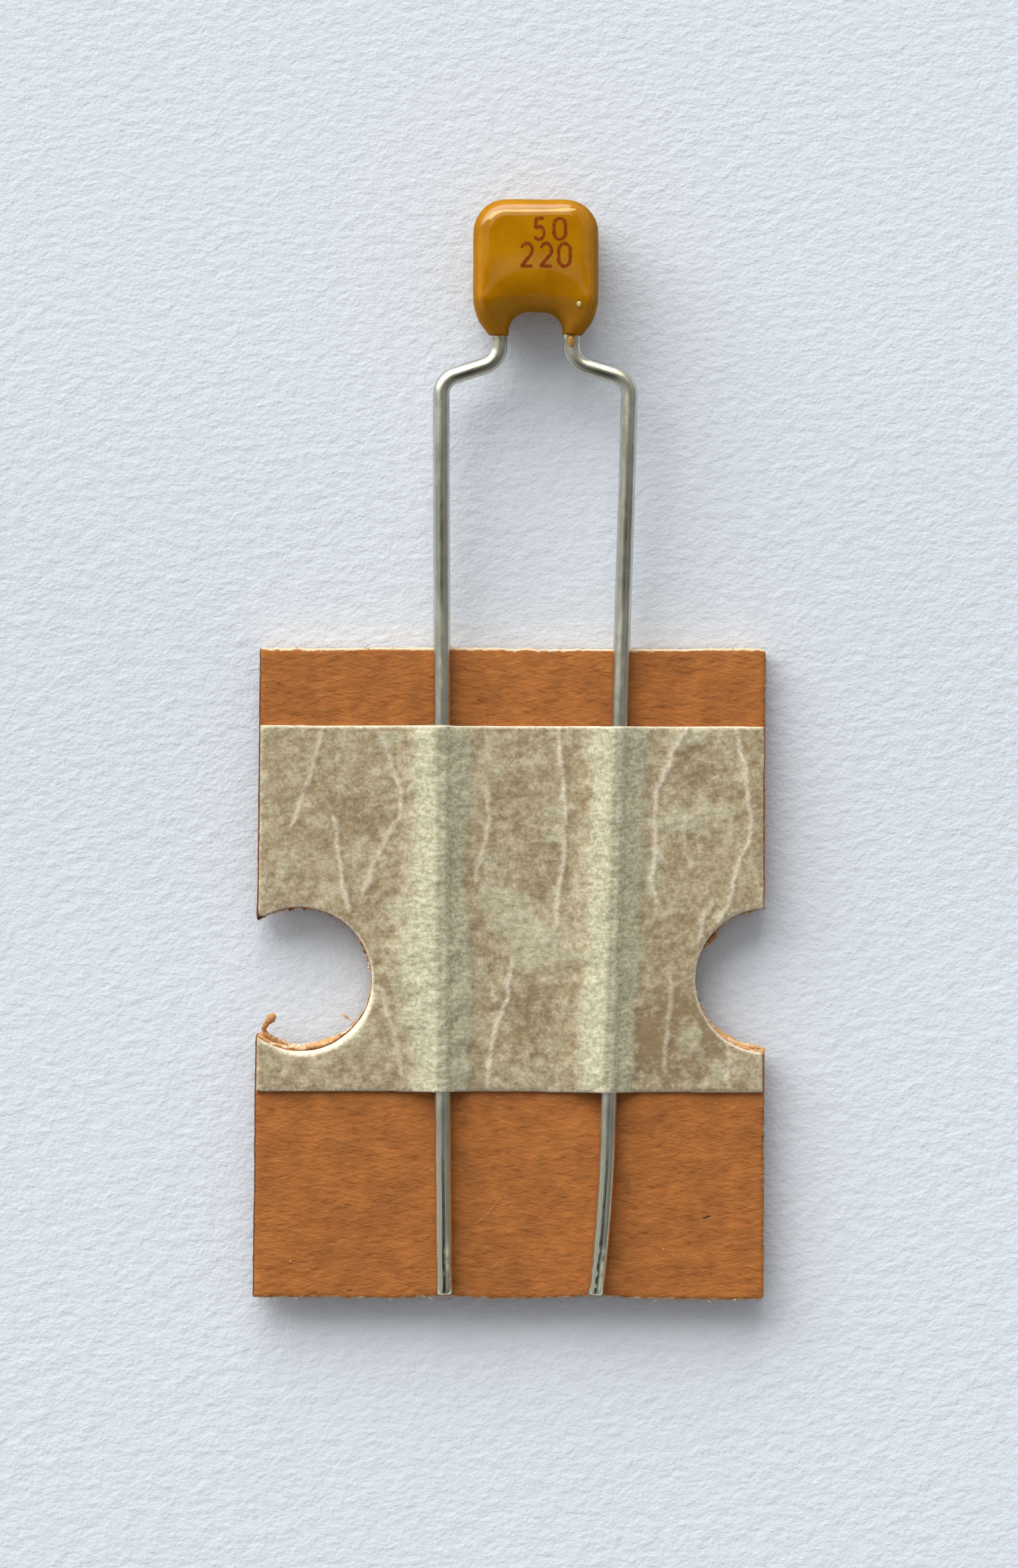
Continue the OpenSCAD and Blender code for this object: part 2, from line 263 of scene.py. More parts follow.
def rise(value, low, high):
    """0 below low, 1 above high and a smooth rise between them."""
    t = np.clip((value - low) / (high - low), 0, 1)
    return t * t * (3 - 2 * t)


def keep(piece, material, node):
    """Gives a piece its material and its place in the frame."""
    piece.data.materials.append(material)
    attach(piece, "root")
    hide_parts(node)


def mesh_piece(name, points, faces, marks=None):
    """A smooth-shaded object from points in millimetres. marks are values per point, by name."""
    mesh = bpy.data.meshes.new(name)
    mesh.from_pydata((np.asarray(points, float) * MM).tolist(), [], faces)
    mesh.polygons.foreach_set("use_smooth", np.ones(len(mesh.polygons), bool))
    for mark, values in (marks or {}).items():
        mesh.attributes.new(mark, "FLOAT", "POINT").data.foreach_set("value", np.asarray(values, np.float32))
    mesh.validate()
    mesh.update()
    piece = bpy.data.objects.new(name, mesh)
    bpy.context.scene.collection.objects.link(piece)
    return piece


def nearest(points, targets):
    """Index of the target nearest to each point in the plane, and the distance to it."""
    tree = KDTree(len(targets))
    for i, target in enumerate(targets):
        tree.insert((target[0], target[1], 0), i)
    tree.balance()
    found = [tree.find((p[0], p[1], 0)) for p in points]
    return np.array([f[1] for f in found]), np.array([f[2] for f in found])


def inside(points, ring):
    """Whether each point lies inside a closed ring."""
    x, y = points.T
    result = np.zeros(len(points), bool)
    for (ax, ay), (bx, by) in zip(ring, np.roll(ring, -1, 0)):
        if ay != by:
            result ^= ((ay > y) != (by > y)) & (x < (bx - ax) * (y - ay) / (by - ay) + ax)
    return result


def triangulated(ring, fine, coarse, band, seed):
    """Triangles over the inside of a ring: fine ones within a band of it, coarse ones further in.
    Returns all points, the first being the ring's, the triangles and the distance to the ring."""
    low, high = ring.min(0), ring.max(0)
    rng = np.random.default_rng(seed)
    picked = [ring]
    for step, near in ((fine, True), (coarse, False)):
        xs = np.arange(low[0] + step / 2, high[0], step)
        ys = np.arange(low[1] + step / 2, high[1], step * 0.87)
        gx, gy = np.meshgrid(xs, ys)
        gx = gx + (np.arange(len(ys)) % 2)[:, None] * step / 2
        p = np.stack([gx.ravel(), gy.ravel()], 1)
        p = p + rng.uniform(-0.18, 0.18, p.shape) * step
        d = nearest(p, ring)[1]
        p = p[(d > 0.55 * step) & ((d < band) == near)]
        picked.append(p[inside(p, ring)])
    flat = np.concatenate(picked)
    loop = list(range(len(ring)))
    out, _, tris, source, _, _ = delaunay_2d_cdt([Vector(p) for p in flat], [], [loop], 1, 1e-7)
    if len(out) != len(flat):
        raise RuntimeError("the sheet's points were merged; its ring crosses itself")
    tris = [[int(source[i][0]) for i in t] for t in tris]
    return flat, tris, np.concatenate([np.zeros(len(ring)), nearest(flat[len(ring):], ring)[1]])


def lengths(path):
    """Length run along a path at each of its points."""
    return np.concatenate([[0], np.cumsum(np.linalg.norm(np.diff(path, axis=0), axis=1))])


def even(path, step):
    """The same open path with points at even steps."""
    path = np.asarray(path, float)
    at = lengths(path)
    want = np.linspace(0, at[-1], max(2, int(round(at[-1] / step)) + 1))
    return np.stack([np.interp(want, at, column) for column in path.T], 1)


def closed_sheet(top, under, tris, ring_count, walls=()):
    """Points and faces of a sheet that is closed along its ring. walls are rings between its faces."""
    n = len(top)
    faces = [list(t) for t in tris] + [[i + n for i in reversed(t)] for t in tris]
    firsts = [0, *(2 * n + row * ring_count for row in range(len(walls))), n]
    for a, b in zip(firsts, firsts[1:]):
        for i in range(ring_count):
            j = (i + 1) % ring_count
            faces.append([a + i, b + i, b + j, a + j])
    return np.concatenate([top, under, *walls]), faces


def ring_faces(rings, sides):
    """Faces that close rings of points into a tube."""
    faces = []
    for i in range(rings - 1):
        for k in range(sides):
            a, b = i * sides + k, i * sides + (k + 1) % sides
            faces.append([a, b, b + sides, a + sides])
    last = (rings - 1) * sides
    return faces + [list(range(sides))[::-1], list(range(last, last + sides))]


def tube(path, radii, sides):
    """Points and faces of a tube along a path, with a radius for each point of it."""
    ahead = np.gradient(path, axis=0)
    ahead /= np.linalg.norm(ahead, axis=1)[:, None] + 1e-12
    across = np.cross(ahead[0], [0.13, 0.29, 0.95])
    points = []
    angles = 2 * np.pi * np.arange(sides)[:, None] / sides
    for p, t, r in zip(path, ahead, radii):
        across = across - t * across.dot(t)
        across /= np.linalg.norm(across)
        points.append(p + r * (np.cos(angles) * across + np.sin(angles) * np.cross(t, across)))
    return np.concatenate(points), ring_faces(len(path), sides)


def gathered(parts):
    """Points, faces and marks of several parts in one. A part's mark is one value or one per point."""
    points, faces, marks = [], [], {}
    for theirs, polygons, values in parts:
        faces.extend([[i + len(points) for i in polygon] for polygon in polygons])
        points.extend(theirs)
        for mark, value in values.items():
            marks.setdefault(mark, []).extend(np.broadcast_to(value, len(theirs)))
    return points, faces, marks


# ---------------------------------------------------------------- shader nodes

def add(tree, kind, inputs=(), stops=(), out=0, **options):
    """Adds a node with its settings and returns one of its outputs. inputs are values or outputs of other
    nodes, by name or in the node's own order, which is value, from low, from high, to low, to high for a
    MapRange and share, first, second for a MixRGB."""
    made = tree.nodes.new("ShaderNode" + kind)
    for name, value in options.items():
        setattr(made, name, value)
    for name, value in inputs.items() if isinstance(inputs, dict) else enumerate(inputs):
        socket = made.inputs[name]
        if isinstance(value, bpy.types.NodeSocket):
            tree.links.new(value, socket)
        else:
            socket.default_value = (*value, 1) if socket.type == "RGBA" and len(value) == 3 else value
    for _ in stops[2:]:
        made.color_ramp.elements.new(0.5)
    for element, (place, colour) in zip(made.color_ramp.elements if stops else (), stops):
        element.position = place
        element.color = (*colour, 1)
    return made.outputs[out] if made.outputs else None


def new_material(name):
    """An empty material and its nodes."""
    material = bpy.data.materials.new(name)
    material.use_nodes = True
    material.node_tree.nodes.clear()
    return material, material.node_tree


def per_mm(size):
    """Scale of a pattern whose features have a size in millimetres, on coordinates in millimetres."""
    return 1 / size


def mm_space(tree, turned=0.0, stretch=(1, 1, 1)):
    """Object coordinates in millimetres, turned about Z and stretched."""
    place = add(tree, "TexCoord", out="Object")
    place = add(tree, "VectorMath", (place, (1 / MM,) * 3), operation="MULTIPLY")
    return add(tree, "Mapping", {"Vector": place, "Rotation": (0, 0, turned), "Scale": stretch},
               vector_type="TEXTURE")


# ---------------------------------------------------------------- carrier strip

WALL_ROWS = (0.82, 0.6, 0.35, 0.12)  # heights of the points in the cut walls, as shares of the thickness
LOWER, RIGHT, RIGHT_NOTCH, UPPER, LEFT, LEFT_NOTCH = range(6)
# For each of these edges, in that order: how rough it is, how far it stands out, how many loose fibres
# it has and how far they reach, and how bleached its upper face is
ROUGH = np.array([1.6, 0.8, 1.2, 1.4, 0.5, 1.3])
STAND_OUT = np.array([0.075, 0.035, 0.0, 0.045, 0.035, 0.0])
FIBRE_SHARE = np.array([0.30, 0.12, 0.25, 0.35, 0.08, 0.30])
FIBRE_REACH = np.array([0.10, 0.06, 0.13, 0.08, 0.04, 0.17])
BLEACHED = np.array([0.5, 0.25, 0.35, 0.95, 0.05, 0.2])
# Where the lead ends press on the lower edge, and stretches of the notches with crumbs, in degrees
LEAD_END_X = (-2.4, 1.7)
CRUMBS = [(NOTCHES[0], 5, 112), (NOTCHES[1], 95, 165), (NOTCHES[1], 188, 250)]
# Shreds that the punch left: where the route starts from, how bleached, torn and scorched they look, and
# the route's x, y, z and radius
SHREDS = [
    # A curled shred and a speck on a stalk in the left notch
    (NOTCHES[0], (0.15, 0.5, 0.0), [
        (-0.35, -1.80, 0.20, 0.03), (-0.65, -1.68, 0.24, 0.06), (-0.93, -1.52, 0.30, 0.075),
        (-0.99, -1.36, 0.34, 0.07), (-0.89, -1.20, 0.38, 0.09), (-0.77, -1.06, 0.38, 0.14),
        (-0.69, -0.98, 0.34, 0.07)]),
    (NOTCHES[0], (0.9, 0.95, 0.0), [
        (1.61, -1.28, 0.32, 0.025), (1.47, -1.17, 0.36, 0.02), (1.33, -1.08, 0.40, 0.02),
        (1.25, -1.02, 0.42, 0.05), (1.19, -0.97, 0.42, 0.03)]),
    # A crumb in the right notch
    (NOTCHES[1], (0.2, 0.3, 0.2), [
        (-1.69, 1.02, 0.32, 0.06), (-1.55, 1.10, 0.36, 0.11), (-1.45, 1.20, 0.38, 0.10),
        (-1.41, 1.32, 0.36, 0.05)]),
    # A pale fibre and a dark fleck on the board, from its lower left corner
    (STRIP_LOW[:2], (0.0, 0.35, 0.0), [
        (5.47, 1.80, 0.49, 0.008), (5.77, 1.86, 0.49, 0.012), (6.12, 2.02, 0.49, 0.014),
        (6.42, 2.30, 0.49, 0.014), (6.69, 2.65, 0.49, 0.012), (6.97, 3.10, 0.49, 0.007)]),
    (STRIP_LOW[:2], (0.0, 0.0, 1.0), [
        (12.19, 2.13, 0.49, 0.02), (12.29, 2.16, 0.495, 0.035), (12.41, 2.21, 0.49, 0.015)]),
    # A torn fibre along the right notch's lower side
    (NOTCHES[1], (0.5, 0.95, 0.0), [
        (-1.20, -1.56, 0.25, 0.05), (-1.00, -1.66, 0.30, 0.07), (-0.75, -1.74, 0.28, 0.06),
        (-0.47, -1.82, 0.30, 0.09), (-0.21, -1.84, 0.30, 0.06)]),
]


def left_edge(y, skew):
    """x of the strip's left cut at a height."""
    return STRIP_LOW[0] + skew * (y - STRIP_LOW[1]) / (STRIP_HIGH[1] - STRIP_LOW[1])


def notch(centre, start, end, count):
    """Points on a notch's circle from one angle to another."""
    angles = np.linspace(start, end, count)
    return np.column_stack([centre[0] + NOTCH_R * np.cos(angles), centre[1] + NOTCH_R * np.sin(angles)])


def strip_ring(skew, step=0.045):
    """The strip's outline, anticlockwise from its lower left corner, with each point's edge."""
    (x0, y0), (x1, y1) = STRIP_LOW[:2], STRIP_HIGH[:2]
    right_half = math.acos((x1 - NOTCHES[1][0]) / NOTCH_R)
    right_tip = NOTCH_R * math.sin(right_half)
    left_tips = []
    for side in (-1, 1):
        y = side * 1.5
        for _ in range(8):
            from_centre = left_edge(y, skew) - NOTCHES[0][0]
            y = side * math.sqrt(NOTCH_R ** 2 - from_centre ** 2)
        left_tips.append((left_edge(y, skew), y))
    start, end = (math.atan2(y, x - NOTCHES[0][0]) for x, y in reversed(left_tips))
    runs = [
        (LOWER, [(x0, y0), (x1, y0)]),
        (RIGHT, [(x1, y0), (x1, -right_tip)]),
        (RIGHT_NOTCH, notch(NOTCHES[1], 2 * math.pi - right_half, right_half, 90)),
        (RIGHT, [(x1, right_tip), (x1, y1)]),
        (UPPER, [(x1, y1), (left_edge(y1, skew), y1)]),
        (LEFT, [(left_edge(y1, skew), y1), left_tips[1]]),
        (LEFT_NOTCH, notch(NOTCHES[0], start, end, 140)),
        (LEFT, [left_tips[0], (x0, y0)]),
    ]
    rings = [even(run, step)[:-1] for _, run in runs]
    return np.concatenate(rings), np.repeat([edge for edge, _ in runs], [len(r) for r in rings])


def outward(ring):
    """Unit vectors that point out of an anticlockwise ring."""
    along = np.roll(ring, -1, 0) - np.roll(ring, 1, 0)
    along /= np.linalg.norm(along, axis=1)[:, None] + 1e-12
    return np.stack([along[:, 1], -along[:, 0]], 1)


def droop(points):
    """How far the strip and tape bend down into the left notch, along its lower right edge."""
    x, y = (points - NOTCHES[0]).T
    gap = np.hypot(x, y) - NOTCH_R
    angle = np.degrees(np.arctan2(y, x))
    span = rise(angle, -118, -80) * (1 - rise(angle, -22, -2))
    return 0.12 * span * (1 - rise(gap, -0.03, 0.19)) * (x < 2 * NOTCH_R)


def strip_material(s):
    """Unbleached pulp board, calendered and then slit and punched: short fibres lie along the strip, its
    faces are dull, and its cut edges are fluffed and paler, or dark where the blade rubbed."""
    material, t = new_material("pulp_board_calendered")
    # Fibres 0.05 mm wide and 0.2 to 0.5 mm long, hairs across them, clumps and clouds of pulp, bark flecks
    # and pale specks 0.1 mm across, and wrinkles 0.15 mm apart that the calender's felt pressed in
    fine, hair, clump, cloud, fleck, speck, felt = (
        add(t, "TexNoise", {"Vector": mm_space(t, turned, (longer, 1, 1)), "Scale": per_mm(size),
                            "Detail": detail, "Roughness": rough, "Distortion": bent})
        for turned, longer, size, detail, rough, bent in (
            (math.radians(12), 4, 0.09, 4, 0.62, 0), (math.radians(-16), 7, 0.06, 2, 0.5, 0),
            (0.1, 1.7, 0.2, 3, 0.5, 0), (0, 1, 0.7, 4, 0.5, 0), (0.2, 2.2, 0.16, 1, 0.5, 0),
            (0.9, 1, 0.11, 1, 0.5, 0), (0.04, 2.6, 0.15, 2, 0.5, 0.5)))
    mixed = add(t, "Math", (add(t, "Math", (fine, hair)), 0.5), operation="MULTIPLY")
    mixed = add(t, "MixRGB", (0.4, mixed, clump))
    base = add(t, "ValToRGB", (mixed,),
               [(0.32, s.fibre_dark), (0.48, s.board), (0.53, s.board), (0.68, s.fibre_pale)])
    shade = add(t, "MapRange", (cloud, 0.3, 0.7, 0.78, 1.10))
    base = add(t, "VectorMath", (base, shade), operation="MULTIPLY")
    for grain, low, high, colour in ((fleck, 0.76, 0.80, "#5A3418"), (speck, 0.79, 0.84, "#E0BE92")):
        base = add(t, "MixRGB", (add(t, "MapRange", (grain, low, high, 0, 0.6)), base, linear(colour)))
    for mark, colour in (("torn", s.torn), ("bleached", s.bleached), ("scorched", linear("#5E3616"))):
        amount = add(t, "Math", (add(t, "Attribute", out="Fac", attribute_name=mark), fine))
        base = add(t, "MixRGB", (add(t, "MapRange", (amount, 0.72, 1.15)), base, colour))
    height = add(t, "Math", (felt, 0.8, mixed), operation="MULTIPLY_ADD")
    shader = add(t, "BsdfPrincipled", {
        "Base Color": base, "Roughness": 0.78, "Specular IOR Level": 0.3, "Sheen Weight": 0.05,
        "Normal": add(t, "Bump", {"Height": height, "Strength": 0.8, "Distance": 0.045 * MM})})
    add(t, "OutputMaterial", {"Surface": shader})
    return material


class CAP_OT_strip(bpy.types.Operator):
    """Builds the carrier strip with its cut edges, punched notches and loose fibres"""
    bl_idname = "capacitor.carrier_strip"
    bl_label = "Carrier strip"

    def execute(self, context):
        s = settings("strip")
        material = strip_material(s)
        ring, edges = strip_ring(s.skew)
        out = outward(ring)
        along = lengths(ring)[:, None]
        push = s.fuzz * ROUGH[edges] * waves(along, (0.9, 0.12, 3), (0.7, 0.34, 4), (0.6, 1.3, 5))
        push += STAND_OUT[edges]
        # The lower edge is drawn up a little where the lead ends press on it
        for x in LEAD_END_X:
            push -= 0.06 * np.exp(-((ring[:, 0] - x) / 0.8) ** 2) * (edges == LOWER)
        ring = ring + out * push[:, None]
        flat, tris, deep = triangulated(ring, 0.065, 0.16, 0.3, 11)
        n, top_z = len(ring), STRIP_HIGH[2]
        relief = waves(flat, (0.006, (0.5, 0.2), 6), (0.004, (0.18, 0.1), 7))
        z = top_z - 0.006 + relief - s.crush * (1 - rise(deep, 0, 0.09)) - droop(flat)
        under_tape = (flat[:, 1] < TAPE_HIGH[1]) & (flat[:, 1] > TAPE_LOW[1])
        top = np.column_stack([flat, np.where(under_tape, np.minimum(z, top_z), z)])
        under = np.column_stack([flat, 0.004 + 0.004 * drift(flat, 0.5, 8)])
        # The punch leaves a torn wall that leans into the notches; the slitter leaves a nearly square one
        from_left, from_right = (np.degrees(np.arctan2(*(ring - centre).T[::-1])) for centre in NOTCHES)
        lean = np.full(n, 0.012)
        lean += (edges == LEFT_NOTCH) * (from_left < 0) * (0.008 + 0.13 * (1 - rise(from_left, -75, -35)))
        lean += (edges == RIGHT_NOTCH) * 0.10 * rise(from_right % 360, 205, 235)
        walls = []
        for row, share in enumerate(WALL_ROWS):
            ragged = waves(along, (0.02, 0.09, 20 + row), (0.02, 0.3, 30 + row))
            amount = lean * (1 - share) * 1.3 + ragged * (0.2 + 8 * lean)
            walls.append(np.column_stack([ring + out * amount[:, None], np.full(n, top_z * share)]))
        under[:n, :2] = walls[-1][:, :2]
        points, faces = closed_sheet(top, under, tris, n, walls)
        in_walls = n * len(WALL_ROWS)
        deep = np.concatenate([deep, deep, np.zeros(in_walls)])
        wall = np.repeat([0, 1], [2 * len(flat), in_walls])
        edge = edges[nearest(flat, ring)[0]]
        edge = np.concatenate([edge, edge, np.tile(edges, len(WALL_ROWS))])
        pale = BLEACHED[edge] * (1 - rise(deep, 0.02, 0.085)) * (1 - 0.6 * wall)
        tufts = 0.95 * rise(drift(points, (0.16, 0.16, 0.2), 9), -0.2, 0.5)
        pale = np.where(wall * (edge == LEFT_NOTCH) > 0, tufts, pale)
        # The blade scorched the left cut and the upper tip of the left notch
        tip = ring[edges == LEFT_NOTCH][0]
        dark = np.maximum((edge == LEFT) * (1 - rise(deep, 0.015, 0.05)),
                          1 - rise(np.hypot(*(points[:, :2] - tip).T), 0.10, 0.28))
        torn = wall * np.where(edge >= RIGHT_NOTCH, 0.95, 0.5)
        piece = mesh_piece("strip_board", points, faces, {"bleached": pale, "scorched": dark, "torn": torn})
        keep(piece, material, "carrier_strip")
        self.fibres(ring, out, edges, material)
        return {"FINISHED"}

    def fibres(self, ring, out, edges, material):
        """Fibres that stand out of the cut edges, crumbs along the notches, and the shreds."""
        rng = np.random.default_rng(5)
        parts = []
        for point, away, edge in zip(ring, out, edges):
            punched = edge in (LEFT_NOTCH, RIGHT_NOTCH)
            low_wall = punched and point[1] < -0.9
            if rng.random() > FIBRE_SHARE[edge] * (2.6 if low_wall else 1):
                continue
            size = FIBRE_REACH[edge] * rng.uniform(0.4, 1.3) * (0.4 if punched and not low_wall else 1)
            swing = rng.uniform(-1, 1) * np.array([-away[1], away[0]])
            z = STRIP_HIGH[2] * rng.uniform(0.15, 0.95)
            steps = np.linspace(0, 1, 5)[:, None]
            path = point - away * 0.03 + size * (away * (steps + 0.2) * 0.8 + swing * steps ** 1.5 * 1.6)
            height = z + rng.uniform(-0.12, 0.10) * steps[:, 0] ** 1.4
            height = np.clip(height, 0.012, STRIP_HIGH[2] - 0.005)
            radii = rng.uniform(0.006, 0.013) * np.array([1, 1, 0.95, 0.8, 0.45])
            looks = {"bleached": rng.uniform(0, 1) * (0.5 if edge == LEFT_NOTCH else 1),
                     "torn": rng.uniform(0.5, 1), "scorched": 0.0}
            parts.append((*tube(np.column_stack([path, height]), radii, 5), looks))
        for centre, start, end in CRUMBS:
            for angle in np.radians(np.arange(start, end, 3.2)):
                if rng.random() < 0.35:
                    continue
                angles = angle + np.linspace(0, rng.uniform(0.02, 0.09), 5)
                far = NOTCH_R - rng.uniform(0.0, 0.05) + 0.03 * rng.uniform(-1, 1, 5)
                route = np.column_stack([centre[0] + far * np.cos(angles), centre[1] + far * np.sin(angles),
                                         np.full(5, rng.uniform(0.2, 0.48))])
                radii = rng.uniform(0.012, 0.035) * np.array([0.5, 1, 1.1, 0.9, 0.4])
                looks = {"bleached": rng.choice([0.0, 0.1, 0.6]), "torn": rng.choice([0.1, 0.5, 0.9]),
                         "scorched": 0.0}
                parts.append((*tube(route, radii, 6), looks))
        for start, (bleached, torn, scorched), route in SHREDS:
            path = even(np.array(route) + (*start, 0, 0), 0.03)
            knobbly = path[:, 3] * (1 + 0.25 * drift(path[:, :3], 0.07, 90))
            points, faces = tube(path[:, :3], knobbly, 9)
            points += 0.012 * shaken(points, 0.06, 91)
            run = np.repeat(np.linspace(0, 1, len(path)), 9)
            looks = {"bleached": bleached * (1 - 0.9 * run) + 0.1, "torn": torn, "scorched": scorched}
            parts.append((points, faces, looks))
        keep(mesh_piece("strip_fibres", *gathered(parts)), material, "carrier_strip")


# ---------------------------------------------------------------- hold-down tape

# Creases pressed into the tape: how strongly each shows, and its route from the tape's lower right corner
TAPE_CORNER = np.array([TAPE_HIGH[0], TAPE_LOW[1]])
CREASES = [
    (1.0, [(-5.60, 9.86), (-5.45, 8.42), (-5.41, 7.16), (-5.45, 6.26), (-5.59, 5.54), (-5.66, 4.46)]),
    (1.0, [(-2.13, 9.87), (-2.40, 9.33), (-2.75, 8.61), (-2.93, 8.15), (-2.93, 6.98), (-3.02, 5.72),
           (-2.87, 5.18)]),
    (1.0, [(-0.74, 9.87), (-0.50, 8.79), (-0.37, 7.53), (-0.41, 6.81), (-0.71, 6.27), (-0.85, 5.37),
           (-1.21, 4.65)]),
    (0.8, [(-7.52, 8.14), (-7.48, 7.33), (-7.64, 6.61), (-7.82, 5.71)]),
    (0.7, [(-12.05, 9.76), (-12.33, 8.52), (-12.85, 7.10)]),
    (0.8, [(-10.35, 9.68), (-10.08, 8.62), (-9.90, 8.24), (-9.93, 7.48), (-10.45, 6.53), (-10.85, 5.48)]),
    (1.0, [(-11.64, 7.48), (-11.51, 5.66), (-11.22, 5.00)]),
    (1.0, [(-6.82, 3.50), (-6.97, 2.44), (-7.39, 1.30), (-7.53, 0.15)]),
    (0.5, [(-2.15, 7.45), (-2.11, 6.55), (-2.00, 6.15)]),
    (0.6, [(-2.53, 3.15), (-2.49, 2.35), (-2.63, 1.45), (-2.65, 0.55)]),
    (0.6, [(-0.95, 1.35), (-0.92, 0.75), (-0.97, 0.10)]),
    (0.9, [(-1.40, 5.15), (-1.63, 4.80), (-1.77, 4.15)]),
    (0.6, [(-10.45, 2.85), (-10.05, 1.65), (-9.85, 0.45)]),
]
# Where the tape was rubbed down hard, or hardly at all: place from the same corner, radius and strength
RUBBED = [((-2.35, 1.55), 1.5, 1.4), ((-5.85, 4.25), 1.2, -0.5), ((-6.35, 2.15), 0.9, 0.6),
          ((-11.15, 7.45), 0.9, 0.5), ((-1.65, 8.65), 0.8, 0.5), ((-5.95, 5.95), 0.8, 0.4)]
# How far the tape bridges on each half of each tent, as a share of the tents' reach: the lead's side, the
# tent's half and the share. The tents lean left, with their crests beside the wires.
REACHES = {(-1, -1): 0.82, (-1, 1): 0.84, (1, -1): 0.80, (1, 1): 0.86}
CREST_SHIFT = 0.15


def leg_x(y, side, lean, kink_h):
    """x of a leg's straight part at a height."""
    return side * (LEG_TOP_X - (kink_h - y) * math.tan(lean))


def tape_material(s):
    """Crepe paper tape with rubber adhesive, rolled down over the leads: mottled and brownish where it is
    stuck to the board, paler where it bridges, with pale worn creases and a fluffed cut edge."""
    material, t = new_material("crepe_paper_tape_rolled_down")
    # Blotches of adhesive, the crepe's grain and fibres, and its wrinkles 0.1 mm apart
    blotch, grain, fine, wrinkle = (
        add(t, "TexNoise", {"Vector": mm_space(t, turned, (longer, 1, 1)), "Scale": per_mm(size),
                            "Detail": detail, "Roughness": rough, "Distortion": bent})
        for turned, longer, size, detail, rough, bent in (
            (0, 1, 0.9, 2, 0.5, 0.3), (0, 1, 0.24, 4, 0.6, 0), (0, 1, 0.085, 3, 0.65, 0),
            (0.05, 3, 0.1, 3, 0.5, 0)))
    rubbed, lifted, crease, edge = (add(t, "Attribute", out="Fac", attribute_name=mark)
                                    for mark in ("rubbed", "lifted", "crease", "edge"))
    tone = add(t, "Math", (fine, 0.65, grain), operation="MULTIPLY_ADD")
    tone = add(t, "Math", (blotch, 0.28, tone), operation="MULTIPLY_ADD")
    tone = add(t, "Math", (rubbed, -0.17, tone), operation="MULTIPLY_ADD")
    down = add(t, "ValToRGB", (add(t, "MapRange", (tone, 0.70, 1.23)),),
               [(0.08, s.bonded_dark), (0.5, s.bonded), (0.9, s.bonded_pale)])
    tone = add(t, "Math", (wrinkle, fine))
    up = add(t, "ValToRGB", (add(t, "MapRange", (tone, 0.75, 1.25)),),
             [(0.1, s.lifted_dark), (0.5, s.lifted), (0.9, s.lifted_pale)])
    # The two meet along a ragged line
    spread = add(t, "Math", (add(t, "Math", (grain, blotch)), 0.8, lifted), operation="MULTIPLY_ADD")
    base = add(t, "MixRGB", (add(t, "MapRange", (spread, 0.85, 1.5)), down, up))
    broken = add(t, "MapRange", (fine, 0.3, 0.62, 0.5, 1.0))
    for mark, strength in ((crease, 0.8), (edge, 0.85)):
        amount = add(t, "Math", (mark, broken), operation="MULTIPLY")
        amount = add(t, "Math", (amount, strength), operation="MULTIPLY")
        base = add(t, "MixRGB", (amount, base, s.edge))
    relief = add(t, "Math", (grain, 1.2, fine), operation="MULTIPLY_ADD")
    relief = add(t, "Math", (wrinkle, 0.8, relief), operation="MULTIPLY_ADD")
    shader = add(t, "BsdfPrincipled", {
        "Base Color": base, "Roughness": 0.55, "Specular IOR Level": 0.3,
        "Normal": add(t, "Bump", {"Height": relief, "Strength": 0.5, "Distance": 0.018 * MM})})
    add(t, "OutputMaterial", {"Surface": shader})
    return material


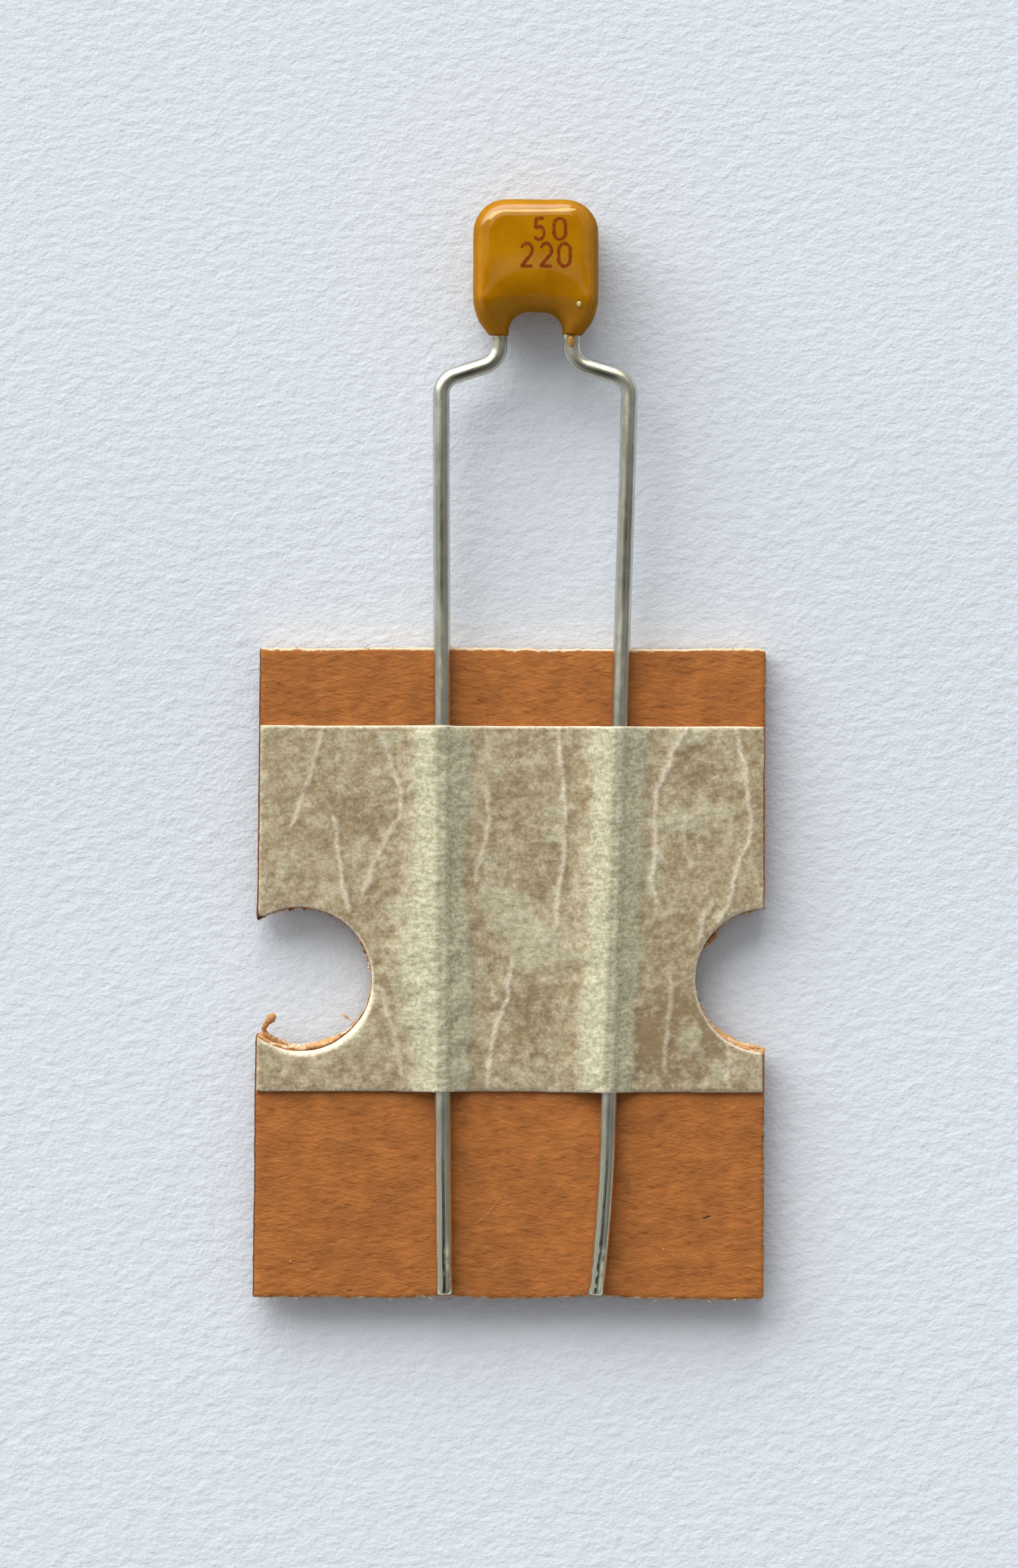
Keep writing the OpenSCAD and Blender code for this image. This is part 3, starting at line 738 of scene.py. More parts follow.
class CAP_OT_tape(bpy.types.Operator):
    """Builds the tape that holds the leads down, with its tents and creases"""
    bl_idname = "capacitor.hold_down_tape"
    bl_label = "Hold-down tape"

    def execute(self, context):
        s, leads, skew = settings("tape"), settings("leads"), settings("strip").skew
        ring, edges = strip_ring(skew, 0.07)
        y0, y1, x_right = TAPE_LOW[1], TAPE_HIGH[1], STRIP_HIGH[0]
        covered = (ring[:, 1] > y0) & (ring[:, 1] < y1)
        loop = np.concatenate([
            even([(left_edge(y0, skew), y0), (x_right, y0)], 0.06),
            ring[np.isin(edges, (RIGHT, RIGHT_NOTCH)) & covered],
            even([(x_right, y1), (left_edge(y1, skew), y1)], 0.06),
            ring[np.isin(edges, (LEFT, LEFT_NOTCH)) & covered]])
        push = waves(lengths(loop)[:, None], (0.007, 0.2, 40), (0.007, 0.7, 41)) - 0.010
        # The upper tip at the left notch is worn round, and the board shows beside it
        tip = ring[edges == LEFT_NOTCH][0]
        worn = np.exp(-((loop - tip) ** 2).sum(1) / 0.22 ** 2)[:, None]
        loop = loop + outward(loop) * push[:, None]
        for _ in range(10):
            loop = loop + 0.9 * worn * ((np.roll(loop, 1, 0) + np.roll(loop, -1, 0)) / 2 - loop)
        flat, tris, deep = triangulated(loop, 0.06, 0.085, 0.15, 12)
        x, y = flat.T
        z, lifted = self.tents(x, y, s, leads)
        bubble = rise(waves(flat, (1, (0.9, 1.2), 60), (0.4, 0.4, 61)), 0.3, 1.0)
        lifted = np.maximum(lifted, 0.42 * bubble * (deep > 0.12))
        crinkle = s.crinkle * waves(flat, (0.7, (0.30, 0.42), 62), (0.45, (0.2, 0.13), 63))
        crinkle *= 1 + 1.2 * rise(z, 0.02, 0.2)
        ridge, crease = np.zeros((2, len(flat)))
        wobble = flat + 0.05 * shaken(flat, 0.35, 64)
        for strength, route in CREASES:
            gap = nearest(wobble, even(route + TAPE_CORNER, 0.03))[1]
            ridge = np.maximum(ridge, strength * np.exp(-(gap / 0.06) ** 2))
            crease = np.maximum(crease, strength * np.exp(-(gap / 0.05) ** 2))
        rubbed = np.zeros(len(flat))
        for place, radius, strength in RUBBED:
            away = np.linalg.norm(flat - TAPE_CORNER - place, axis=1)
            spot = strength * (1 - rise(away, 0.5 * radius, 1.2 * radius))
            rubbed = np.where(np.abs(spot) > np.abs(rubbed), spot, rubbed)
        bent = droop(flat)
        top_z = STRIP_HIGH[2] + z + s.thickness + crinkle + s.crease * ridge + 0.02 * bubble - 0.012
        top_z = np.minimum(top_z, TAPE_HIGH[2] + 0.03) - 0.03 * (1 - rise(deep, 0, 0.05)) - bent
        under_z = STRIP_HIGH[2] + z + 0.02 * bubble * (z < 0.02) - bent
        points, faces = closed_sheet(np.column_stack([flat, top_z]), np.column_stack([flat, under_z]), tris,
                                     len(loop))
        at_side = np.where(x > x_right - 0.1, 0.55, np.where(x < left_edge(y, skew) + 0.1, 0.2, 1.0))
        edge = np.maximum((1 - rise(deep, 0.02, 0.08)) * at_side, 1.1 * np.clip(bent / 0.03, 0, 1))
        marks = {"lifted": lifted, "crease": crease, "edge": edge, "rubbed": rubbed}
        piece = mesh_piece("tape_sheet", points, faces, {k: np.concatenate([v, v]) for k, v in marks.items()})
        keep(piece, tape_material(s), "hold_down_tape")
        return {"FINISHED"}

    def tents(self, x, y, s, leads):
        """Height of the tape over the strip beside and over the leads, and where it is lifted."""
        z, lifted = np.zeros((2, len(x)))
        for (side, half), share in REACHES.items():
            lean = leads.left_lean if side < 0 else leads.right_lean
            from_wire = x - leg_x(y, side, lean, leads.kink_h)
            off = from_wire + CREST_SHIFT
            seed = 50 + 7 * side + 3 * half
            reach = s.reach * share * (1 + waves(y[:, None], (0.13, 1.5, seed), (0.10, 0.45, seed + 1)))
            # The left tent bridges further beside its notch, where the strip is narrow
            if (side, half) == (-1, -1):
                reach = reach * (1 + 0.55 * np.exp(-((y + 0.1) / 1.9) ** 2))
            run = np.clip((np.abs(off) - 0.05) / (reach - 0.05), 0, 1)
            span = 2 * WIRE_R * (1 - run) ** (1.55 if half < 0 else 1.3)
            over_wire = WIRE_R - 0.04 + np.sqrt(np.maximum(WIRE_R ** 2 - from_wire ** 2, 0))
            tent = np.maximum(span, over_wire * (np.abs(from_wire) < WIRE_R))
            on = off * half >= 0
            z = np.where(on, np.maximum(z, tent), z)
            loose = rise(1 - run, 0.02, 0.85 if half < 0 else 0.4)
            lifted = np.where(on, np.maximum(lifted, loose), lifted)
        return z, lifted


# ---------------------------------------------------------------- leads

LEAD_SIDES = 44
LEAD_SLACK = 0.13  # how far a dressed lead may depart from the packed lead's box


def moved(x, y, z):
    """Matrix of a move."""
    m = np.eye(4)
    m[:3, 3] = (x, y, z)
    return m


def turned(angle, first, second):
    """Matrix of a turn that carries one axis towards another."""
    m = np.eye(4)
    m[first, first] = m[second, second] = math.cos(angle)
    m[second, first], m[first, second] = math.sin(angle), -math.sin(angle)
    return m


def step_matrix(step, share):
    """Matrix that carries +Z along a share of a straight (length) or of a bend (turn, radius, roll)."""
    if len(step) == 1:
        return moved(0, 0, step[0] * share)
    angle, radius, roll = step
    bend = moved(radius, 0, 0) @ turned(angle * share, 2, 0) @ moved(-radius, 0, 0)
    return turned(roll, 0, 1) @ bend @ turned(-roll, 0, 1)


def step_length(step):
    """Length of a straight or of a bend."""
    return step[0] if len(step) == 1 else step[0] * step[1]


def wire_rings(steps, spacing):
    """Matrices along a wire through its steps, about a spacing apart, and the length run at each."""
    at, run = np.eye(4), 0.0
    matrices, runs = [at], [run]
    for step in steps:
        span = step_length(step)
        count = max(2, math.ceil(span / spacing))
        for k in range(1, count + 1):
            matrices.append(at @ step_matrix(step, k / count))
            runs.append(run + span * k / count)
        at, run = matrices[-1], run + span
    return np.array(matrices), np.array(runs)


def lead_steps(s, top, slope, lean, curl):
    """The right lead's steps from its upper end in the body to its lower end on the strip."""
    foot_x, kink_r = s.foot_pitch / 2, s.kink_r
    angle, down = math.pi / 2 - slope, -math.pi / 2
    run = (LEG_TOP_X - foot_x - kink_r * (1 + math.cos(lean) - 2 * math.cos(angle))) / math.sin(angle)
    drop = kink_r * (2 * math.sin(angle) + math.sin(lean)) + run * math.cos(angle)
    leg_end = STRIP_LOW[1] + s.tail_gap
    fall = MID_Z - STRIP_HIGH[2] - WIRE_R
    span = s.kink_h - s.neck_l - STRIP_HIGH[1] - s.lift_gap
    fall_turn = 2 * math.atan(fall / span)
    fall_r = span / (2 * math.sin(fall_turn))
    curl_r = s.curl_l / curl
    tail_drop = curl_r * (math.sin(lean + curl) - math.sin(lean))
    leg = (s.kink_h - leg_end - tail_drop) / math.cos(lean) - s.neck_l - span
    return [
        [top - s.kink_h - drop], [angle, kink_r, 0], [run], [angle + lean, kink_r, math.pi], [s.neck_l],
        [fall_turn, fall_r, down], [fall_turn, fall_r, down + math.pi], [leg], [curl, curl_r, math.pi],
    ]


def wire_material(s):
    """Copper-clad steel wire, drawn and hot tinned: a satin grey metal with fine drawing lines along it,
    duller where it was handled and dirty beside the body.
    Its lower ends are a brighter, glossier tin as painted sheen, with pale dull patches there as painted
    glints."""
    material, t = new_material("tinned_wire_drawn")
    # Among the marks are the painted sheen and the painted glints of the lower ends
    along, around, dirt, burnish, scuff = (
        add(t, "Attribute", out="Fac", attribute_name=mark)
        for mark in ("along", "around", "dirt", "burnish", "scuff"))
    skin = add(t, "CombineXYZ", (along, around))
    # Drawing lines 0.03 mm apart and 2 mm long, and wear in patches of 0.9 by 0.3 mm
    lines, wear = (
        add(t, "TexNoise", {"Vector": add(t, "VectorMath", (skin, scale), operation="MULTIPLY"), "Scale": 1,
                            "Detail": detail, "Roughness": rough})
        for scale, detail, rough in (((0.5, 30, 1), 2, 0.5), ((1.1, 3.4, 1), 5, 0.65)))
    spot = add(t, "TexNoise", {"Vector": mm_space(t), "Scale": per_mm(0.12), "Detail": 2})
    base = add(t, "MixRGB", (add(t, "MapRange", (wear, 0.38, 0.62)), s.tin_dull, s.tin))
    dirt = add(t, "MapRange", (add(t, "Math", (dirt, spot)), 0.72, 1.2, 0, 0.8))
    rough = add(t, "MapRange", (wear, 0.35, 0.65, 0.22, 0.33))
    base = add(t, "MixRGB", (dirt, base, s.residue))
    # Painted sheen and painted glints: a brighter, glossier tin over the lower ends, and pale, dull patches
    # near their tips
    for mark, colour, roughness in ((burnish, s.tin_bright, 0.10), (scuff, s.tin_scuffed, 0.42)):
        base = add(t, "MixRGB", (mark, base, colour))
        rough = add(t, "MixRGB", (mark, rough, (roughness,) * 3))
    height = add(t, "Math", (lines, wear))
    shader = add(t, "BsdfPrincipled", {
        "Base Color": base, "Roughness": rough,
        # Less metallic where the glints are painted, so that they show as pale spots
        "Metallic": add(t, "Math", (scuff, -0.8, 1.0), operation="MULTIPLY_ADD"),
        "Normal": add(t, "Bump", {"Height": height, "Strength": 0.35, "Distance": 0.01 * MM})})
    add(t, "OutputMaterial", {"Surface": shader})
    return material


class CAP_OT_leads(bpy.types.Operator):
    """Builds both leads along the routes of the packed model's leads"""
    bl_idname = "capacitor.leads"
    bl_label = "Leads"

    def execute(self, context):
        s = settings("leads")
        material = wire_material(s)
        self.lead(s, "lead_left", -1, (s.left_slope, s.left_lean, s.left_curl), material)
        self.lead(s, "lead_right", 1, (s.right_slope, s.right_lean, s.right_curl), material)
        return {"FINISHED"}

    def lead(self, s, node, side, angles, material):
        """One lead as rings of points along its steps, with its dents and its marks of use."""
        low, high = node_box(node)
        steps = lead_steps(s, node_box("lead_right")[1][1], *angles)
        matrices, runs = wire_rings(steps, 0.11)
        spans = [step_length(step) for step in steps]
        kink_start, kink_end = spans[0], sum(spans[:4])
        seed = 70 + side
        run = np.repeat(runs, LEAD_SIDES)
        end = runs[-1] - run
        angle = np.tile(2 * np.pi * np.arange(LEAD_SIDES) / LEAD_SIDES, len(runs))
        skin = np.column_stack([run, np.cos(angle), np.sin(angle)])
        in_kink = rise(run, kink_start - 0.1, kink_start + 0.2)
        in_kink = in_kink * (1 - rise(run, kink_end - 0.1, kink_end + 0.3))
        swell = 1 + 0.004 * drift(skin, (0.8, 1.2, 1.2), seed)
        swell += 0.006 * in_kink * drift(skin, (0.25, 0.8, 0.8), seed + 5)
        # The bending jaws press slight flats at the front of the kinks
        swell -= 0.025 * in_kink * np.clip(np.sin(angle) - 0.86, 0, 1) / 0.14
        # The lower ends were nicked by the cutter and its holder, and their rims are rounded
        nicks = np.minimum(drift(skin, (0.16, 0.7, 0.7), seed + 9), 0)
        swell += 0.07 * nicks * (1 - rise(end, 0.8, 1.8)) - 0.10 * np.clip(1 - end / 0.05, 0, 1) ** 2
        rings = np.column_stack([WIRE_R * swell[:, None] * skin[:, 1:], 0 * run, 1 + 0 * run])
        rings = rings.reshape(-1, LEAD_SIDES, 4) @ matrices.transpose(0, 2, 1)
        rings = np.stack([side * (s.foot_pitch / 2 + rings[..., 0]), high[1] - rings[..., 2],
                          MID_Z + rings[..., 1]], 2)
        points = rings.reshape(-1, 3)
        if max(np.abs(points.min(0) - low).max(), np.abs(points.max(0) - high).max()) > LEAD_SLACK:
            raise RuntimeError(f"{node} departs from the packed model")
        # Painted glints: pale patches along the upper right of each end, near its tip
        facing = ((rings - rings.mean(1, keepdims=True)) / WIRE_R).reshape(-1, 3)
        band = np.exp(-((facing[:, 0] - 0.42) / 0.2) ** 2) * (facing[:, 2] > 0)
        patchy = rise(drift(run[:, None], 0.22, seed + 11), -0.5, 0.1)
        # The painted sheen is full within 3.2 mm of each lead's lower end and fades out by 5 mm
        marks = {"along": run, "around": angle * WIRE_R,
                 "dirt": 0.35 * (1 - rise(run, kink_start - 0.3, kink_start + 0.25)),
                 "burnish": 1 - rise(end, 3.2, 5.0), "scuff": band * patchy * (1 - rise(end, 1.0, 1.7))}
        faces = ring_faces(len(runs), LEAD_SIDES)
        faces = faces if side > 0 else [face[::-1] for face in faces]
        keep(mesh_piece("tinned_" + node, points, faces, marks), material, node)


# ---------------------------------------------------------------- dipped coating

def to_polygon(x, y, corners):
    """Distance from points to a convex polygon, 0 inside it. Corners run anticlockwise."""
    best = np.full(x.shape, np.inf)
    within = np.ones(x.shape, bool)
    for (ax, ay), (bx, by) in zip(corners, corners[1:] + corners[:1]):
        ex, ey = bx - ax, by - ay
        t = np.clip(((x - ax) * ex + (y - ay) * ey) / (ex * ex + ey * ey), 0, 1)
        best = np.minimum(best, np.hypot(x - ax - t * ex, y - ay - t * ey))
        within &= (ex * (y - ay) - ey * (x - ax)) >= 0
    return np.where(within, 0, best)


FOOT_T = 0.26  # half thickness of the coating at the tips of its feet
FLARE_H = 1.05  # height over which the feet widen into the body
WIRE_SKIN = 0.03  # coating between the arch and a wire


def coating_field(s, foot_pitch):
    """A function that is below 0 inside the dipped coating, for points in millimetres."""
    r, top, feet = s.corner_r, BODY_HIGH[1], BODY_LOW[1]
    half_t = (BODY_HIGH[2] - BODY_LOW[2]) / 2
    half_w = BODY_HIGH[0] - r
    # The outline is this polygon grown by the corners' radius, less the arch and what lies below the feet
    corners = [(0, feet - 0.101), (half_w - 0.05, feet + 0.90), (half_w, feet + 1.08), (half_w, top - r),
               (-half_w, top - r), (-half_w, feet + 1.08), (0.05 - half_w, feet + 0.90)]
    shoulder_x = foot_pitch / 2 - WIRE_R - WIRE_SKIN - s.arch_r
    shoulder_y = feet + s.arch_h - s.arch_r

    def field(p):
        x, y, z = p[:, 0], p[:, 1], p[:, 2] - MID_Z
        wave = waves(p, (0.012, 0.9, 80), (0.006, 0.4, 81))
        above = rise(y, feet, feet + FLARE_H)
        # Depth of a point inside the outline, the arch and the ragged tips, each with its rounding
        t_out = r - to_polygon(x, y, corners) + wave
        from_arch = np.hypot(np.maximum(np.abs(x) - shoulder_x, 0), np.maximum(y - shoulder_y, 0))
        t_arch = from_arch - s.arch_r + 0.6 * wave
        r_out = FOOT_T + (s.rim - FOOT_T) * above
        r_arch = FOOT_T + (s.arch_rim - FOOT_T) * above
        tip = feet + 0.03 + 0.03 * drift(p[:, :1], 0.16, 82)
        rounded = sum((np.maximum(width - depth, 0) / width) ** 2
                      for width, depth in ((r_out, t_out), (r_arch, t_arch), (0.09, y - tip)))
        # Half thickness: the feet swell into the domed faces, which slope off along the outline
        taper = 1 - (1 - np.clip((y - feet) / (FLARE_H + 0.02), 0, 1)) ** 1.7
        centre = np.exp(-((x / 1.2) ** 2 + ((y - (top + feet + 1) / 2) / 1.3) ** 2))
        half = FOOT_T + (half_t - s.dome - FOOT_T) * taper + s.dome * centre
        inset = s.bevel - t_out
        ramp = 0.5 * (inset + np.sqrt(inset ** 2 + 0.05 ** 2)) * rise(y, feet + 0.6, feet + 2.7)
        half = half - math.tan(s.bevel_tilt) * ramp
        # Round sections at the feet, squarer ones above them
        return (np.abs(z) / half) ** (2 + 1.9 * above) + rounded - 1
    return field


def gradient(field, points, step):
    """How fast a field grows at points, along each axis."""
    return np.stack([(field(points + e) - field(points - e)) / (2 * step) for e in step * AXES], 1)


def neighbours(grid, axis):
    """A grid without its last layer along an axis, and without its first."""
    layers = np.moveaxis(grid, axis, 0)
    return np.moveaxis(layers[:-1], 0, axis), np.moveaxis(layers[1:], 0, axis)


def net(field, low, high, step):
    """Points and quads of the surface where a field is 0, found on a grid and then drawn onto it."""
    axes = [np.arange(a - 1.5 * step, b + 2.5 * step, step) for a, b in zip(low, high)]
    grid = np.stack([g.ravel() for g in np.meshgrid(*axes, indexing="ij")], 1)
    value = np.concatenate([field(part) for part in np.array_split(grid, 12)])
    value = value.reshape([len(a) for a in axes])
    cells = tuple(n - 1 for n in value.shape)
    total, count = np.zeros(cells + (3,)), np.zeros(cells)
    for axis in range(3):
        a, b = neighbours(value, axis)
        crossing = (a < 0) != (b < 0)
        share = np.where(crossing, a / np.where(crossing, a - b, 1), 0)
        u, v = (k for k in range(3) if k != axis)
        for offset in np.ndindex(*(1 if k == axis else 2 for k in range(3))):
            window = [slice(None)] * 3
            for k in (u, v):
                window[k] = slice(offset[k], offset[k] + cells[k])
            here = crossing[tuple(window)]
            for k in range(3):
                total[..., k] += here * (share[tuple(window)] if k == axis else offset[k])
            count += here
    active = count > 0
    index = np.full(cells, -1)
    index[active] = np.arange(active.sum())
    points = np.argwhere(active) + total[active] / count[active][:, None]
    points = points * step + np.array([a[0] for a in axes])
    faces = []
    for axis in range(3):
        a, b = neighbours(value < 0, axis)
        u, v = (axis + 1) % 3, (axis + 2) % 3
        eu, ev = np.eye(3, dtype=int)[[u, v]]
        for c in np.argwhere(a != b):
            if 0 < c[u] < cells[u] and 0 < c[v] < cells[v]:
                quad = [int(index[tuple(q)]) for q in (c - eu - ev, c - ev, c, c - eu)]
                faces.append(quad if a[tuple(c)] else quad[::-1])
    for _ in range(4):
        slope = gradient(field, points, 0.002)
        pull = field(points)[:, None] * slope / np.maximum((slope ** 2).sum(1), 1e-6)[:, None]
        size = np.linalg.norm(pull, axis=1)[:, None]
        points = points - pull * np.minimum(1, 0.4 * step / np.maximum(size, 1e-9))
    return points, faces


def coating_material(s):
    """Epoxy resin, dipped in liquid and oven cured: a glossy ochre skin with a clear top that pulled itself
    smooth, pale where dust or froth set in it, and an orange tinge where it runs out thin over the wire. Its
    steep flanks carry painted shade."""
    material, t = new_material("epoxy_dipped_and_cured")
    plain = mm_space(t)
    pale, thin, steep = (add(t, "Attribute", out="Fac", attribute_name=mark)
                         for mark in ("pale", "thin", "steep"))
    # Clouds of pigment, its grain, and the slow waves of a surface that flowed before it set
    cloud, fine, wave = (add(t, "TexNoise", {"Vector": plain, "Scale": per_mm(size), "Detail": detail})
                         for size, detail in ((0.8, 3), (0.09, 2), (0.5, 2)))
    base = add(t, "ValToRGB", (cloud,), [(0.3, linear("#AD7201")), (0.5, s.epoxy), (0.7, linear("#BB8005"))])
    grain = add(t, "MapRange", (fine, 0.3, 0.7, 0.96, 1.04))
    base = add(t, "VectorMath", (base, grain), operation="MULTIPLY")
    base = add(t, "MixRGB", (pale, base, linear("#D9CFA4")))
    base = add(t, "MixRGB", (thin, base, s.epoxy_thin))
    # Painted shade: the steep flanks are painted darker so that they look no brighter than the faces; they
    # are also less glossy
    base = add(t, "VectorMath", (base, add(t, "MapRange", (steep, 0, 1, 1.0, 0.62))), operation="MULTIPLY")
    bump = add(t, "Bump", {"Height": wave, "Strength": 0.25, "Distance": 0.01 * MM})
    shader = add(t, "BsdfPrincipled", {
        "Base Color": base, "Roughness": 0.5, "Specular IOR Level": 0.0, "Normal": bump,
        "Subsurface Weight": 0.4, "Subsurface Radius": (1.0, 0.5, 0.1), "Subsurface Scale": 0.35 * MM,
        "Coat Weight": add(t, "MapRange", (steep, 0, 0.4, 1.0, 0.12)), "Coat Roughness": 0.05,
        "Coat IOR": 1.5, "Coat Normal": bump})
    add(t, "OutputMaterial", {"Surface": shader})
    return material


def ink_material(s):
    """Pad-printed pigment ink: flat rust red, thin and broken where the pad pressed lightly."""
    material, t = new_material("pad_printed_ink")
    worn = add(t, "TexNoise", {"Vector": mm_space(t), "Scale": per_mm(0.07), "Detail": 3})
    base = add(t, "MixRGB", (add(t, "MapRange", (worn, 0.52, 0.75, 0, 0.5)), s.ink, s.epoxy))
    shader = add(t, "BsdfPrincipled", {"Base Color": base, "Roughness": 0.6, "Specular IOR Level": 0.1})
    add(t, "OutputMaterial", {"Surface": shader})
    return material


def front_face(field, x, y):
    """z of the coating's front face at points of the plane."""
    low, high = np.full(len(x), MID_Z), np.full(len(x), BODY_HIGH[2] + 0.2)
    for _ in range(24):
        middle = (low + high) / 2
        within = field(np.column_stack([x, y, middle])) < 0
        low, high = np.where(within, middle, low), np.where(within, high, middle)
    return (low + high) / 2


def arc(cx, cy, rx, ry, start, end):
    """Points on an ellipse from one angle to another, in degrees."""
    angles = np.radians(np.linspace(start, end, max(6, int(abs(end - start) / 12))))
    return [(cx + rx * math.cos(a), cy + ry * math.sin(a)) for a in angles]


# Plain numerals as strokes in a box 1 wide and 1 high
NUMERALS = {
    "0": arc(0.5, 0.68, 0.5, 0.32, 0, 180) + arc(0.5, 0.32, 0.5, 0.32, 180, 360) + [(1.0, 0.68)],
    "2": arc(0.5, 0.70, 0.46, 0.30, 165, -40) + [(0.02, 0.0), (1.0, 0.0)],
    "5": [(0.92, 1.0), (0.16, 1.0), (0.10, 0.56)] + arc(0.44, 0.31, 0.50, 0.31, 132, -150),
}
# The printed rows: distance of the numerals' feet from the body's top, their height, and each numeral
# with its left edge and width
PRINT = [
    (1.159, 0.57, [("5", -0.04, 0.27), ("0", 0.48, 0.31)]),
    (1.874, 0.615, [("2", -0.40, 0.31), ("2", 0.12, 0.31), ("0", 0.61, 0.31)]),
]


class CAP_OT_coating(bpy.types.Operator):
    """Builds the dipped epoxy body with its arch and feet, its beads and its printed numerals"""
    bl_idname = "capacitor.epoxy_coating"
    bl_label = "Dipped coating"

    def execute(self, context):
        s, foot_pitch = settings("coating"), settings("leads").foot_pitch
        field = coating_field(s, foot_pitch)
        material = coating_material(s)
        points, faces = net(field, BODY_LOW, BODY_HIGH, s.grid)
        thin = 0.8 * (1 - rise(points[:, 1], BODY_LOW[1] + 0.03, BODY_LOW[1] + 0.16))
        slope = gradient(field, points, 0.01)
        # Steepness of the surface: the flanks get painted shade from it, and a thinner coat
        steep = 1 - rise(np.abs(slope[:, 2]) / np.linalg.norm(slope, axis=1), 0.1, 0.9)
        piece = mesh_piece("dipped_body", points, faces, {"thin": thin, "pale": 0 * thin, "steep": steep})
        keep(piece, material, "epoxy_coating")
        self.beads(field, foot_pitch / 2, material)
        self.numerals(s, field)
        return {"FINISHED"}

    def beads(self, field, lead_x, material):
        """A drop that ran down the right lead before curing, and a dust nib on the right shoulder."""
        nib_x, feet, lead_z = BODY_HIGH[0] - 0.52, BODY_LOW[1], MID_Z + WIRE_R
        nib_z = front_face(field, np.array([nib_x]), np.array([feet + 0.861]))[0]
        parts = []
        for place, radii, pale, thin in (
                ((lead_x - 0.02, feet - 0.079, lead_z - 0.06), (0.13, 0.20, 0.13), 0.22, 0.05),
                ((lead_x - 0.13, feet + 0.041, lead_z - 0.10), (0.10, 0.12, 0.11), 0.85, 0.0),
                ((nib_x, feet + 0.861, nib_z - 0.01), (0.07, 0.08, 0.05), 0.75, 0.0)):
            across = np.linspace(-0.999, 0.999, 13)
            route = np.column_stack([0 * across, across, 0 * across])
            ball, faces = tube(route, np.sqrt(1 - across ** 2), 16)
            ball *= 1 + 0.08 * drift(ball, 0.8, 95)[:, None]
            parts.append((ball * radii + place, faces, {"thin": thin, "pale": pale}))
        keep(mesh_piece("coating_beads", *gathered(parts)), material, "epoxy_coating")

    def numerals(self, s, field):
        """Printed numerals as thin ribbons that lie on the front face."""
        parts = []
        for below_top, tall, row in PRINT:
            for numeral, left, wide in row:
                stroke = np.array(NUMERALS[numeral]) * (wide, tall) + (left, BODY_HIGH[1] - below_top)
                path = even(stroke, 0.025)
                path += 0.006 * shaken(path, 0.12, 96)
                ahead = np.gradient(path, axis=0)
                aside = np.column_stack([-ahead[:, 1], ahead[:, 0]])
                aside /= np.linalg.norm(aside, axis=1)[:, None]
                half = s.stroke / 2 * (1 + 0.2 * drift(path, 0.08, 98))
                half[[0, -1]] *= 0.55
                lines = []
                for share, lift in ((-1, -0.01), (-1, 0.004), (0, 0.004), (1, 0.004), (1, -0.01)):
                    flat = path + aside * (share * half)[:, None]
                    lines.append(np.column_stack([flat, front_face(field, *flat.T) + lift]))
                faces = [face[::-1] for face in ring_faces(len(path), len(lines))]
                parts.append((np.stack(lines, 1).reshape(-1, 3), faces, {}))
        points, faces, _ = gathered(parts)
        piece = mesh_piece("ink_marks", points, faces)
        piece.data.polygons.foreach_set("use_smooth", np.zeros(len(faces), bool))
        keep(piece, ink_material(s), "epoxy_coating")


# ---------------------------------------------------------------- inside the coating

# For each slot: the material, its pale and dark colours, metallic, roughness and grain size
INSIDE = {
    "fired_ceramic": ("fired_ceramic_sintered", "#C8B890", "#B0A078", 0.0, 0.75, 0.05),
    "electrode_metal": ("nickel_printed_and_fired", "#8C8A84", "#76746E", 1.0, 0.45, 0.03),
    "fired_silver": ("silver_paste_fired", "#C8C4BA", "#A8A498", 1.0, 0.5, 0.04),
    "solder": ("tin_solder_reflowed", "#B8B8B2", "#9A9A94", 1.0, 0.3, 0.08),
}


class CAP_OT_inside(bpy.types.Operator):
    """Gives the chip, electrodes, terminations and solder inside the coating their materials"""
    bl_idname = "capacitor.inside"
    bl_label = "Inside the coating"

    def execute(self, context):
        made = {}
        for slot, (name, pale, dark, metallic, rough, size) in INSIDE.items():
            # Sintered grain, printed paste or a reflowed surface, each drawn at its own grain size in mm
            made[slot], t = new_material(name)
            grain = add(t, "TexNoise", {"Vector": mm_space(t), "Scale": per_mm(size), "Detail": 4})
            base = add(t, "ValToRGB", (grain,), [(0.4, linear(dark)), (0.6, linear(pale))])
            shader = add(t, "BsdfPrincipled", {
                "Base Color": base, "Metallic": metallic, "Roughness": rough,
                "Normal": add(t, "Bump", {"Height": grain, "Strength": 0.3, "Distance": 0.01 * MM})})
            add(t, "OutputMaterial", {"Surface": shader})
        for part in frame["record"]["subparts"]:
            if part["material_slot"] in made:
                mesh = frame["nodes"][part["node"]].data
                mesh.materials.clear()
                mesh.materials.append(made[part["material_slot"]])
        return {"FINISHED"}


# ---------------------------------------------------------------- stage

# Azimuth and height of each lamp's middle and width and height of its face in degrees as seen from the
# part, its radiance, its colour, and whether it lights surfaces. The panels, an upper window and its
# bright sill, show only in gloss.
LAMPS = {
    "window_lamp": (118, 21, 80, 26, 5.3, (1.0, 0.99, 0.97), True),
    "middle_lamp": (116, 42, 60, 16, 4.0, (1.0, 0.99, 0.97), True),
    "upper_panel": (108, 54, 36, 42, 1.8, (1.0, 0.98, 0.90), False),
    "sill_panel": (108, 53, 62, 7, 9.7, (1.0, 0.95, 0.52), False),
}
LAMP_FAR = 4.0  # metres
# The shade overhead, as gloss shows it: half width, middle and half height of each of its boxes and the
# softness of their edges, on a plane 1 high
SHADE = [(0.38, -0.56, 0.505, 0.03), (0.45, 0.36, 0.29, 0.04)]
VIEW_TALL = 2365 / 1536  # height of the view as a share of its width
PAPER_BEND = (STRIP_HIGH[1] - 9, BODY_LOW[1] - 0.2)  # where the paper starts and stops to rise, in y


